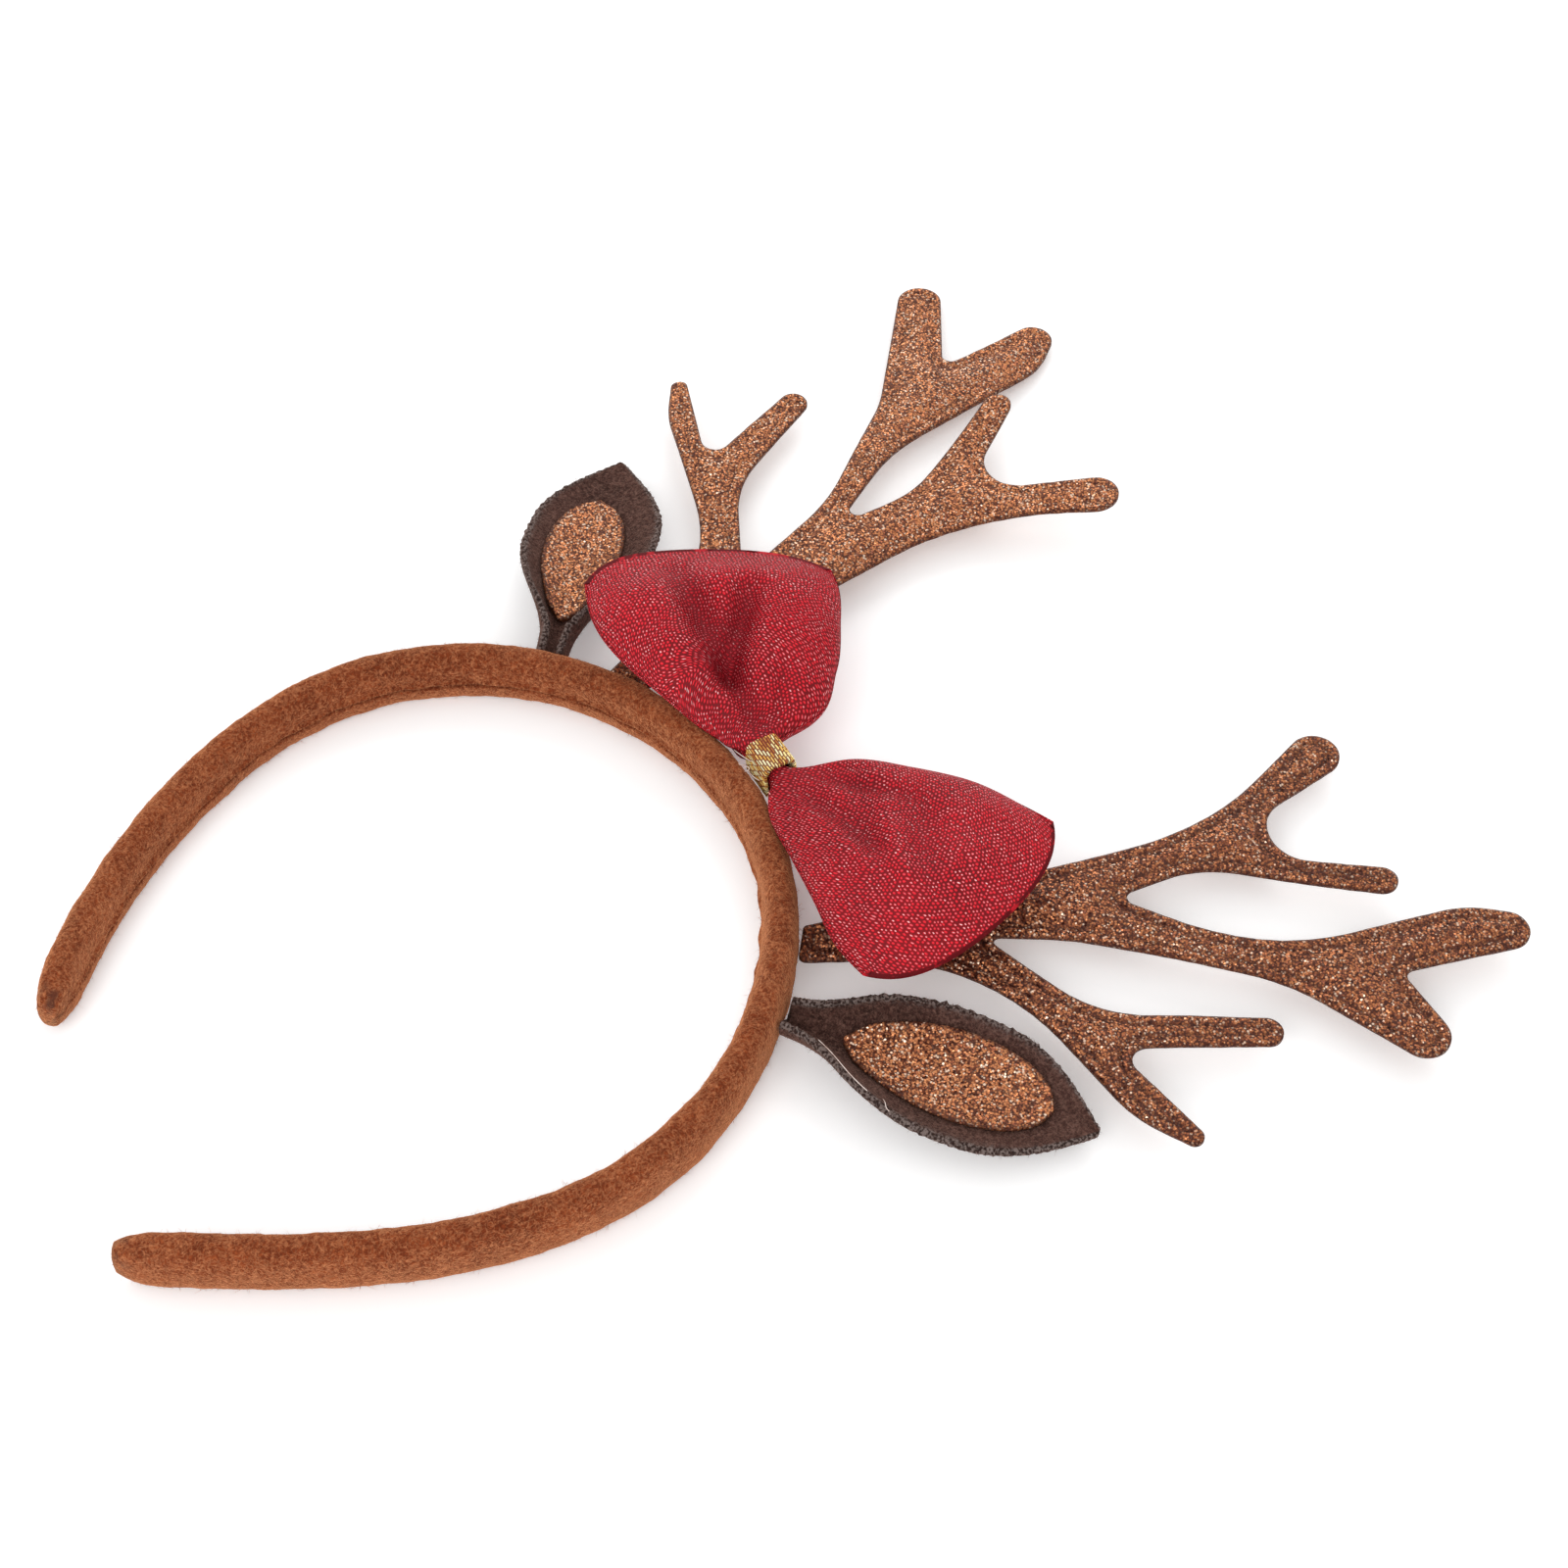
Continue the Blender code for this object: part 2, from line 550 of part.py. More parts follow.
def main():
    clear_scene()
    parts = bpy.data.collections.new("reindeer_headband")
    guides = bpy.data.collections.new("guides")
    bpy.context.scene.collection.children.link(parts)
    bpy.context.scene.collection.children.link(guides)
    felt = material("brown_felt", FELT_BROWN, 0.95)
    dark_felt = material("dark_felt", FELT_DARK, 0.95)
    glitter = material("copper_glitter", COPPER_GLITTER, 0.45, 0.3)
    knit = material("red_knit", RED_KNIT, 0.70)
    ribbon = material("gold_ribbon", GOLD_RIBBON, 0.35, 0.6)
    make_band(parts, guides, felt)
    for name, style in ANTLERS.items():
        make_antler(name, style, parts, glitter)
    for name, style in EARS.items():
        make_ear(name, style, parts, dark_felt, glitter)
    make_bow(parts, knit)
    make_bow_band(parts, ribbon)


main()
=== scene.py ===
# %% [markdown]
# # A reindeer antler headband
# The thing is a costume headband lying on a table: a padded felt band, two glitter fabric
# antlers, two cupped felt ears with glitter inserts, and a knitted bow tied on with a
# gold ribbon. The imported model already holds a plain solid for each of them. This lesson
# gives each one the surface of the real thing. It starts by loading the model as a frame
# that is never moved, so every new piece goes where its solid is.

# %% Load the frame
import math

import bpy
import numpy as np
from mathutils.geometry import delaunay_2d_cdt
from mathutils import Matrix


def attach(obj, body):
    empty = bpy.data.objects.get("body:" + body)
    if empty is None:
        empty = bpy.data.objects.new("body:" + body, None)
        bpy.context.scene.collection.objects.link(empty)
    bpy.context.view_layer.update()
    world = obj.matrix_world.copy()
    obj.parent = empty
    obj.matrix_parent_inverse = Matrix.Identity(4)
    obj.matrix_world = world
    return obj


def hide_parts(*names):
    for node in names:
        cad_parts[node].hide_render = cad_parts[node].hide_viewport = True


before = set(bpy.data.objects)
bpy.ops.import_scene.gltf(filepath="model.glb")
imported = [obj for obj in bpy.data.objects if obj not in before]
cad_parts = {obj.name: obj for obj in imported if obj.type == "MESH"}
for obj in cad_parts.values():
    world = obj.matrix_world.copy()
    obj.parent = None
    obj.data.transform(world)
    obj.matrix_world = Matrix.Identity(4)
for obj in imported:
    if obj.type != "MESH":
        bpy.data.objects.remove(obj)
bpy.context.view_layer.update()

print("nodes:", ", ".join(sorted(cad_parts)))

# %% [markdown]
# ## The camera
# A camera can be aimed by a constraint or by typed angles. Typed angles are used, because
# the view was worked out from the band, whose two halves lie level. It looks down by 50
# degrees from the wearer's left and a little behind.

# %% Camera
CAMERA_PLACE = (0.3299, -0.1738, 0.4551)
CAMERA_DOWN = 50.0
CAMERA_TURN = 60.84
CAMERA_LENS = 67.5

view = bpy.data.objects.new("camera", bpy.data.cameras.new("camera"))
view.data.lens = CAMERA_LENS
view.location = CAMERA_PLACE
view.rotation_euler = (math.radians(90 - CAMERA_DOWN), 0.0, math.radians(CAMERA_TURN))
bpy.context.scene.collection.objects.link(view)
bpy.context.scene.camera = view
print("camera looks down by", CAMERA_DOWN, "degrees")

# %% [markdown]
# ## From arrays to meshes
# Blender can be asked for one vertex at a time, but a felt surface has tens of thousands.
# Here a shape is worked out as one array, and the whole array goes into the mesh in a
# single call. Everything is triangles, so one function builds every piece. Where a shape
# closes on itself, the signed volume tells whether its faces point outwards.

# %% Triangles over a grid
def grid_triangles(rows, columns, wrap_rows=False, wrap_columns=False):
    """Triangles over a grid of points, and the same corners counted without wrapping.

    A cell's corners are (row, column), (row, column + 1), (row + 1, column + 1) and
    (row + 1, column). A wrapped side joins its last line of points to its first.
    """
    down = np.arange(rows if wrap_rows else rows - 1)
    over = np.arange(columns if wrap_columns else columns - 1)
    down, over = (part.ravel() for part in np.meshgrid(down, over, indexing="ij"))
    steps = [(0, 0), (0, 1), (1, 1), (0, 0), (1, 1), (1, 0)]
    joined = [(down + i) % rows * columns + (over + j) % columns for i, j in steps]
    plain = [(down + i) * (columns + 1) + over + j for i, j in steps]
    return np.stack(joined, 1).reshape(-1, 3), np.stack(plain, 1).reshape(-1, 3)


def signed_volume(points, triangles):
    """Volume inside a closed shape: a sixth of the sum of each corner times the cross of the others."""
    a, b, c = (points[triangles[:, k]] for k in range(3))
    return np.sum(a * np.cross(b, c)) / 6


print("a grid of 3 by 3 points has", len(grid_triangles(3, 3)[0]), "triangles")

# %% [markdown]
# ## One function makes every piece
# The arrays go into a mesh with `foreach_set`, which copies a whole array at once. Two things
# can go with them. A UV map, here called the weave, says where each corner lies on the cloth.
# A mark is one number for each point, which a material can read.

# %% Make a piece
def make_piece(name, points, triangles, node=None, weave=None, marks=None):
    """Put arrays into a mesh object that rides on the body.

    weave is a pair, the UV values and the corner numbers into them. marks holds one
    number for each point under each name.
    """
    outwards = signed_volume(points, triangles) > 0
    turned = triangles if outwards else triangles[:, ::-1]
    mesh = bpy.data.meshes.new(name)
    mesh.vertices.add(len(points))
    mesh.vertices.foreach_set("co", points.astype(np.float32).ravel())
    mesh.loops.add(turned.size)
    mesh.loops.foreach_set("vertex_index", turned.astype(np.int32).ravel())
    mesh.polygons.add(len(turned))
    mesh.polygons.foreach_set("loop_start", np.arange(0, turned.size, 3, dtype=np.int32))
    mesh.update(calc_edges=True)
    mesh.shade_smooth()
    if weave is not None:
        values, corners = weave
        corners = corners if outwards else corners[:, ::-1]
        layer = mesh.uv_layers.new(name="weave")
        layer.data.foreach_set("uv", values.reshape(-1, 2)[corners.ravel()].astype(np.float32).ravel())
    for mark, amounts in (marks or {}).items():
        layer = mesh.attributes.new(mark, "FLOAT", "POINT")
        layer.data.foreach_set("value", amounts.astype(np.float32).ravel())
    piece = bpy.data.objects.new(name, mesh)
    bpy.context.scene.collection.objects.link(piece)
    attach(piece, "root")
    if node:
        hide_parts(node)
    print(name, "has", len(turned), "triangles")
    return piece


print("every piece rides on the body named root")

# %% [markdown]
# ## Closing a tube
# Band, leaves and bow are all tubes: rings of points, one after the other. Each end ring is
# closed by one more point in its middle, the pole. A single cap with many corners would be
# shorter to write, but it shades badly.

# %% Close a tube
def close_tube(rings):
    """Points and triangles of a tube of rings (rows, columns, xyz), with a pole at each end.

    A pole is the mean of its end ring, joined to each pair of its points. The wall's
    corners are also given back as they are counted without wrapping, for a UV map.
    """
    rows, columns = rings.shape[:2]
    points = np.concatenate([rings.reshape(-1, 3), [rings[0].mean(0), rings[-1].mean(0)]])
    wall, corners = grid_triangles(rows, columns, wrap_columns=True)
    around = np.arange(columns)
    after = (around + 1) % columns
    end = (rows - 1) * columns
    first = np.stack([after, around, np.full(columns, rows * columns)], 1)
    last = np.stack([end + around, end + after, np.full(columns, rows * columns + 1)], 1)
    return points, np.concatenate([wall, first, last]), corners


print("a tube of 5 rings of 8 points has", len(close_tube(np.zeros((5, 8, 3)))[1]), "triangles")

# %% [markdown]
# ## Curves that the solids follow
# The band, the antlers and the ears follow the same few sizes as their solids. The band
# comes first, because all the others sit on it. Its path could be a list of points, but a
# few headings, in degrees from straight ahead, are easier to read and to change.

# %% Sizes of the band
GAP = 0.0003
BAND_HALF_LENGTH = 0.192
BAND_THICKNESS = 0.0070
BAND_WIDTH = 0.0130
LEFT, RIGHT = 1, -1
LEG_SHARES = [0.0, 0.2, 0.4, 0.6, 0.8, 1.0]
LEG_HEADINGS = {
    LEFT: [0.0, 33.0, 61.5, 96.0, 116.0, 123.0],
    RIGHT: [0.0, 32.0, 69.0, 107.0, 127.0, 142.0],
}
print("band is", round(2 * BAND_HALF_LENGTH, 3), "m long along its middle")

# %% [markdown]
# ## Smooth curves
# Between two rows of a table a value runs along a cubic. `ease` is a ramp with level ends,
# which joins two surfaces without a kink, and `bell` is a soft bump for seams and creases.

# %% Smooth curves
def through(shares, values, at):
    """A smooth curve through values given at shares, a cubic between each two of them."""
    shares, values = np.asarray(shares, float), np.asarray(values, float)
    slopes = np.gradient(values, shares)
    place = np.clip(np.searchsorted(shares, at, side="right") - 1, 0, len(shares) - 2)
    step = shares[place + 1] - shares[place]
    t = (at - shares[place]) / step
    rise = (1 + 2 * t) * (1 - t) ** 2 * values[place] + t * t * (3 - 2 * t) * values[place + 1]
    bend = t * (1 - t) ** 2 * slopes[place] - t * t * (1 - t) * slopes[place + 1]
    return rise + step * bend


def ease(t):
    """Ramp from 0 to 1 with level ends: 3 t squared less 2 t cubed."""
    t = np.clip(t, 0.0, 1.0)
    return t * t * (3 - 2 * t)


def bell(t):
    """A bump of height 1 at t = 0 that has faded at t = 2: e to the power of minus t squared."""
    return np.exp(-t * t)


print("half way up the ramp is", ease(0.5))

# %% [markdown]
# ## Unevenness
# Cloth is never quite even. `wander` adds up a few sine waves whose lengths, directions and
# phases come from a generator with a fixed seed, so that each run gives the same thing.

# %% Unevenness
def wander(seed, shortest, longest, *places, waves=7):
    """A sum of sine waves over the places, mostly between -1 and 1.

    Each wave has a random length between the shortest and the longest, in metres where
    the places are, and a random direction and phase.
    """
    pick = np.random.default_rng(seed)
    total = 0.0
    for _ in range(waves):
        size = 2 * math.pi / pick.uniform(shortest, longest)
        heading = pick.normal(size=len(places))
        heading = heading / np.linalg.norm(heading) * size
        phase = pick.uniform(0, 2 * math.pi)
        total = total + np.sin(sum(h * place for h, place in zip(heading, places)) + phase)
    return total / math.sqrt(2 * waves)


print("unevenness at one place:", round(float(wander(1, 0.01, 0.02, 0.0)), 3))

# %% [markdown]
# ## The path of the band
# Small steps in the direction of the heading add up to the band's middle line, for one half
# of the band and then the other. What sits on the band, such as an antler, needs the point
# on its outer wall.

# %% Path of the band
LEG_STEPS = 600


def leg(side):
    """Middle line of one half of the band: distance from the crown, x, y and heading.

    The heading is a curve through the table, and x and y add up its cosine and sine.
    """
    share = np.linspace(0.0, 1.0, LEG_STEPS + 1)
    heading = np.radians(through(LEG_SHARES, LEG_HEADINGS[side], share))
    middle = (heading[1:] + heading[:-1]) / 2
    step = BAND_HALF_LENGTH / LEG_STEPS
    x = side * np.concatenate([[0.0], np.cumsum(np.cos(middle)) * step])
    y = -np.concatenate([[0.0], np.cumsum(np.sin(middle)) * step])
    return share * BAND_HALF_LENGTH, x, y, heading


def seat_on_band(side, distance):
    """Point just off the band's outer wall, at a distance from the crown, and the heading."""
    along, x, y, heading = leg(side)
    angle = np.interp(distance, along, heading)
    out = BAND_THICKNESS / 2 + GAP
    px = np.interp(distance, along, x) + side * math.sin(angle) * out
    py = np.interp(distance, along, y) + math.cos(angle) * out
    return px, py, angle


print("the outer wall at the crown is at y =", round(float(seat_on_band(LEFT, 0.0)[1]), 4))

# %% [markdown]
# ## The padded band
# The real band is a plastic strip wrapped in wadding and felt. The felt's long edges meet
# in a seam on the inner wall, where one edge stands over the other as a soft lip. A curve
# with a bevel gives an even tube, but here the section has to change along the way, so a
# profile is carried along the path. First come that path and the seam, whose lip and
# groove are two bells.

# %% Path and seam of the band
LIP_HEIGHT = 0.00050
LIP_OFF = 0.0007                # from the groove up to the top of the lip
LIP_WIDTH = 0.0006
LIP_RUFFLE = 0.45               # share by which the lip's height changes along it
RUFFLE_WAVES = (0.004, 0.014)   # shortest and longest wave, as for all the waves below
GROOVE_DEPTH = 0.00075
GROOVE_WIDTH = 0.00045
# The crease's painted shade is darkest this far above the groove.
CREASE_OFF = 0.000125           # the darkest line, from the groove


def band_path(distance):
    """The band's middle line at distances from the crown, and the way outwards there.

    Distances on the right are negative and follow the right leg, the others the left one.
    """
    legs = []
    for side in (RIGHT, LEFT):
        along, *lines = leg(side)
        legs.append([np.interp(np.abs(distance), along, line) for line in lines])
    x, y, heading = np.where(distance < 0, *legs)
    side = np.where(distance < 0, RIGHT, LEFT)
    return x, y, side * np.sin(heading), np.cos(heading)


def seam(off, along):
    """What the seam adds at a height above its groove, and how deep in the crease that is.

    The lip is a bell above the groove, higher and lower along the way, and the groove is
    a bell taken away. The crease's depth darkens the felt as painted shade.
    """
    ruffled = 1 + LIP_RUFFLE * wander(8, *RUFFLE_WAVES, along)
    lip = LIP_HEIGHT * ruffled * bell((off - LIP_OFF) / LIP_WIDTH)
    groove = GROOVE_DEPTH * bell(off / GROOVE_WIDTH)
    return lip - groove, bell((off - CREASE_OFF) / GROOVE_WIDTH)


print("the lip stands over the groove by", round((LIP_HEIGHT + GROOVE_DEPTH) * 1000, 2), "mm")

# %% [markdown]
# ## The band's surface
# The profile is a rounded oblong that is drawn in at the band's ends. The seam is added on
# the inner wall only, and points crowd together there, so that its lip gets enough of them.

# %% Band surface
BAND_RINGS = 620
BAND_COLUMNS = 84
SECTION_POWER = 2.5             # 2 is an ellipse, more is squarer
SECTION_RADIUS = 0.005          # turns an angle round the section into metres
SEAM_CROWDING = 0.86
END_REACH = 0.0085              # length of each rounded end
END_POWER_BAND = 2.1
END_FLATTEST = 0.56             # share of the section left at the very end
GREY_FROM = 2 / 7               # share of the rounded end at which it starts to grey
THICKNESS_WANDER = 0.022        # share by which the padding swells and thins
WIDTH_WANDER = 0.010
SWELL_WAVES = (0.02, 0.06)
SOFT_LUMPS = 0.00013            # height of the padding's lumps
SOFT_WAVES = (0.005, 0.020)
FINE_LUMPS = 0.00005            # height of the felt's own unevenness
FINE_WAVES = (0.0015, 0.004)
SEAM_LOW = 0.0009               # the seam runs this far below the middle of the wall
SEAM_WANDER = 0.0005
SEAM_WAVES = (0.015, 0.05)


def band_rings():
    """Rings of the band, from the right end over the crown to the left end.

    A section point stands at half the thickness times cos to the power 2 / n and half
    the width times sin to the power 2 / n, plus what the seam and the unevenness add
    along the way outwards from the section's middle. Two marks come with each point: how
    deep it lies in the seam's crease, which the felt darkens as painted shade, and how
    far out on a rounded end.
    """
    distance = np.linspace(-BAND_HALF_LENGTH, BAND_HALF_LENGTH, BAND_RINGS)
    x, y, out_x, out_y = band_path(distance)
    to_end = BAND_HALF_LENGTH - np.abs(distance)
    ending = np.clip(1 - to_end / END_REACH, 0.0, 1.0)
    size = 1 - ending ** END_POWER_BAND * (1 - END_FLATTEST)
    turn = np.linspace(0.0, 2 * math.pi, BAND_COLUMNS, endpoint=False)
    angle = turn - SEAM_CROWDING * np.sin(turn)
    cosine, sine = np.cos(angle), np.sin(angle)
    inward = np.sign(cosine) * np.abs(cosine) ** (2 / SECTION_POWER)
    upward = np.sign(sine) * np.abs(sine) ** (2 / SECTION_POWER)

    along = distance[:, None]
    swell = 1 + THICKNESS_WANDER * wander(3, *SWELL_WAVES, along)
    thick = BAND_THICKNESS / 2 * size[:, None] * swell
    wide = BAND_WIDTH / 2 * size[:, None] * (1 + WIDTH_WANDER * wander(4, *SWELL_WAVES, along))
    round_section = angle[None, :] * SECTION_RADIUS
    lumps = SOFT_LUMPS * wander(5, *SOFT_WAVES, along, round_section)
    lumps = lumps + FINE_LUMPS * wander(6, *FINE_WAVES, along, round_section)
    height = wide * upward[None, :]
    off = height + SEAM_LOW - SEAM_WANDER * wander(7, *SEAM_WAVES, along)
    inner = (cosine > 0)[None, :]
    bump, crease = seam(off, along)
    bump = bump * inner * (1 - ease(ending)[:, None])
    across = thick * inward[None, :] + lumps * inward[None, :] + bump
    height = np.maximum(height + lumps * upward[None, :] + BAND_WIDTH / 2, 0.0)
    px = x[:, None] - out_x[:, None] * across
    py = y[:, None] - out_y[:, None] * across
    crease = crease * inner
    greying = ease((ending - GREY_FROM) / (1 - GREY_FROM))
    end_cap = np.broadcast_to(greying[:, None], crease.shape)
    return np.stack([px, py, height], -1), crease, end_cap


band_grid, band_crease_shade, band_end = band_rings()
band_points, band_triangles, _ = close_tube(band_grid)
# The crease mark darkens the felt as painted shade.
band = make_piece("padded_band", band_points, band_triangles, "headband",
                  marks={"crease": np.append(band_crease_shade.ravel(), [0.0, 0.0]),
                         "end": np.append(band_end.ravel(), [1.0, 1.0])})

# %% [markdown]
# ## The antlers
# Each antler is cut from glitter fabric. Its outline works like a belt round pulleys, so
# tips and crotches are arcs and the edges between them are straight or gently bowed. A
# line is pressed into the fabric a little inside the edge, and the middle is plump. All
# of that is a height that depends only on the distance to the outline. So the points are
# placed in rings at chosen distances from the outline, with an even net inside them, and
# a Delaunay triangulation joins them. The alternative, a plain square grid, would need
# far more points to draw the narrow pressed line cleanly.

# %% Pulleys of the antlers
ANTLER_HEIGHT = 0.1255
ANTLER_WIDTH = 0.0833
PULLEYS = [
    # name               turn  radius   left x   left y   right x  right y
    ("foot_outer",        1,   0.010,   0.025,  -0.005,   0.025,  -0.005),
    ("stem_waist",       -1,   0.340,   0.375,  -0.085,   0.410,  -0.020),
    ("side_belly",        1,   0.200,   0.445,   0.465,   0.450,   0.550),
    ("side_outer_tip",    1,   0.015,   0.580,   0.330,   0.590,   0.420),
    ("side_crotch",      -1,   0.025,   0.440,   0.345,   0.435,   0.410),
    ("side_inner_tip",    1,   0.025,   0.480,   0.530,   0.455,   0.580),
    ("side_waist",       -1,   0.205,   0.195,   0.495,   0.170,   0.545),
    ("low_crotch",       -1,   0.010,   0.145,   0.270,   0.145,   0.315),
    ("trunk_outer",      -1,   0.340,   0.465,   0.165,   0.505,   0.335),
    ("main_waist",       -1,   0.280,   0.580,   0.375,   0.580,   0.515),
    ("main_outer_tip",    1,   0.040,   0.600,   0.730,   0.605,   0.935),
    ("main_crotch",      -1,   0.015,   0.510,   0.785,   0.445,   0.905),
    ("main_inner_tip",    1,   0.035,   0.505,   0.960,   0.415,   1.065),
    ("main_bulge",        1,   0.160,   0.585,   0.860,   0.490,   0.960),
    ("main_back",        -1,   0.400,   0.005,   0.850,  -0.110,   0.830),
    ("big_crotch",       -1,   0.015,   0.175,   0.500,   0.165,   0.545),
    ("branch_waist",     -1,   0.210,   0.375,   0.535,   0.360,   0.590),
    ("branch_outer_tip",  1,   0.025,   0.330,   0.855,   0.250,   0.880),
    ("branch_crotch",    -1,   0.065,   0.190,   0.815,   0.120,   0.850),
    ("branch_inner_tip",  1,   0.040,   0.070,   0.915,  -0.030,   0.905),
    ("trunk_inner",      -1,   0.435,  -0.335,   0.640,  -0.390,   0.590),
    ("foot_inner",        1,   0.010,  -0.015,   0.025,  -0.015,   0.025),
]
print(len(PULLEYS), "pulleys, as shares of the antler's height")

# %% [markdown]
# ## A belt round pulleys
# The belt runs round each pulley to the left or to the right, as its turn says. The straight
# stretches touch both pulleys, which one sine decides, so no tangent has to be searched for.

# %% Belt round the pulleys
ARC_STEP = math.radians(6)


def pulley_centres(side):
    """Centre of each pulley of one side's antler, by name, in shares of the height."""
    column = 3 if side == LEFT else 5
    return {row[0]: row[column:column + 2] for row in PULLEYS}


def belt(side):
    """Outline of the belt round one antler's pulleys, as an array of points.

    With signed radii a and b and centres a distance apart, the straight part leaves the
    line of centres by the angle whose sine is (a - b) over that distance. Round a pulley
    the belt is an arc between the two headings.
    """
    turns = [row[1] for row in PULLEYS]
    radii = [row[2] for row in PULLEYS]
    centres = list(pulley_centres(side).values())
    headings = []
    for place, (x, y) in enumerate(centres):
        after = (place + 1) % len(centres)
        dx, dy = centres[after][0] - x, centres[after][1] - y
        signed = turns[place] * radii[place] - turns[after] * radii[after]
        headings.append(math.atan2(dy, dx) + math.asin(signed / math.hypot(dx, dy)))
    arcs = []
    for place, (x, y) in enumerate(centres):
        turn, radius, start = turns[place], radii[place], headings[place - 1]
        sweep = (turn * (headings[place] - start)) % (2 * math.pi)
        angle = start + turn * np.linspace(0.0, sweep, 2 + math.ceil(sweep / ARC_STEP))
        arc_x = x + turn * radius * np.sin(angle)
        arc_y = y - turn * radius * np.cos(angle)
        arcs.append(np.stack([arc_x, arc_y], 1))
    return np.concatenate(arcs)


print("the belt has", len(belt(LEFT)), "points")

# %% [markdown]
# ## The antlers' outlines
# The belt's points lie close on the arcs and far apart between them. The net inside needs
# even steps, so new points are read off the running length. Each antler has its own row of
# places, because the two are bent and laid down differently.

# %% Outlines of the antlers
# Each antler: where branch and main limb part, in degrees, the rise of each at its tip as
# a share of the height, and how dark the pressed line is painted: partly the line's own
# colour, partly painted shade of its groove, which is stronger on the near antler.
ANTLERS = {
    "left": {"side": LEFT, "parting": 60.0, "main_rise": 0.004, "branch_rise": -0.004, "line": 1.0},
    "right": {"side": RIGHT, "parting": 70.5, "main_rise": -0.028, "branch_rise": 0.043, "line": 0.3},
}
EDGE_STEP = 0.0005              # between points along the outline


def evenly(loop, step):
    """Points at equal steps round a closed line, read off its running length."""
    closed = np.concatenate([loop, loop[:1]])
    length = np.concatenate([[0.0], np.cumsum(np.hypot(*np.diff(closed, axis=0).T))])
    at = np.linspace(0.0, length[-1], round(length[-1] / step), endpoint=False)
    return np.stack([np.interp(at, length, closed[:, k]) for k in range(2)], 1)


def antler_outline(style):
    """The belt in metres, measured from the antler's seat on the band."""
    width, height = np.ptp(belt(LEFT), axis=0)
    return evenly(belt(style["side"]) * (ANTLER_WIDTH / width, ANTLER_HEIGHT / height), EDGE_STEP)


outlines = {name: antler_outline(style) for name, style in ANTLERS.items()}
print({name: len(outline) for name, outline in outlines.items()}, "points round the antlers")

# %% [markdown]
# ## How far from the edge
# All the relief depends on the distance to the outline. Every point is compared with every
# step of the outline as whole arrays, in blocks, so that the arrays stay small.

# %% Distances and insides
BLOCK = 500                     # points whose distances are worked out at once


def distance_to_line(points, loop):
    """Least distance from each point to a closed line, over all of its straight steps."""
    start, step = loop, np.roll(loop, -1, axis=0) - loop
    least = np.full(len(points), np.inf)
    for block in np.array_split(np.arange(len(points)), 1 + len(points) // BLOCK):
        to = points[block, None] - start
        t = np.clip((to * step).sum(-1) / (step * step).sum(-1), 0.0, 1.0)
        least[block] = np.linalg.norm(to - t[..., None] * step, axis=-1).min(axis=1)
    return least


def inside(points, loop):
    """Whether points are inside a closed line: a ray to the right crosses it an odd number of times."""
    ax, ay = loop.T
    bx, by = np.roll(loop, -1, axis=0).T
    px, py = points[:, :1], points[:, 1:]
    spans = (ay > py) != (by > py)
    with np.errstate(divide="ignore", invalid="ignore"):
        crossing = ax + (py - ay) * (bx - ax) / (by - ay)
    return (spans & (px < crossing)).sum(axis=1) % 2 == 1


seat_off = distance_to_line(np.zeros((1, 2)), outlines["left"])[0]
print("the seat lies", round(float(seat_off) * 1000, 2), "mm from the outline")

# %% [markdown]
# ## The pressed line
# Across its edge the antler is a thin flange, then the pressed line, then the plump middle.
# One function of the distance to the edge says it all, front and back alike.

# %% Thickness of an antler
PRESSED_AT = 0.0023             # the pressed line's distance from the edge
PRESSED_WIDTH = 0.00034
PRESSED_DEPTH = 0.00026
EDGE_HALF = 0.00035             # half thickness at the cut edge
EDGE_ROUNDING = 0.0006
FLANGE_HALF = 0.00075           # half thickness between edge and pressed line
PLUMP = 0.00085                 # what the middle adds
PLUMP_REACH = 0.0050


def half_thickness(distance):
    """Half the antler's thickness at a distance from its edge.

    It rounds up from the cut edge, dips at the pressed line and then swells towards the
    middle as an eased ramp.
    """
    edge = EDGE_HALF + (FLANGE_HALF - EDGE_HALF) * ease(distance / EDGE_ROUNDING)
    pressed = PRESSED_DEPTH * bell((distance - PRESSED_AT) / PRESSED_WIDTH)
    return edge - pressed + PLUMP * ease((distance - PRESSED_AT) / PLUMP_REACH)


print("half thickness in the pressed line:", round(float(half_thickness(PRESSED_AT)) * 1000, 2), "mm")

# %% [markdown]
# ## A net that follows the edge
# Rings of points run along the outline at chosen distances, close together at the pressed
# line. Where two rings meet in a crotch, the points that are too near an edge are dropped.

# %% Net of an antler
RING_DISTANCES = (0.00025, 0.0006, 0.0011, 0.0016, 0.0020, 0.0023, 0.0026, 0.0030, 0.0036)
RING_SLACK = 0.985              # of its distance: a point nearer to another edge is dropped
NET_STEP = 0.0009
NET_CLEARANCE = 0.6             # net steps left free inside the last ring
SAME_POINT = 1e-7


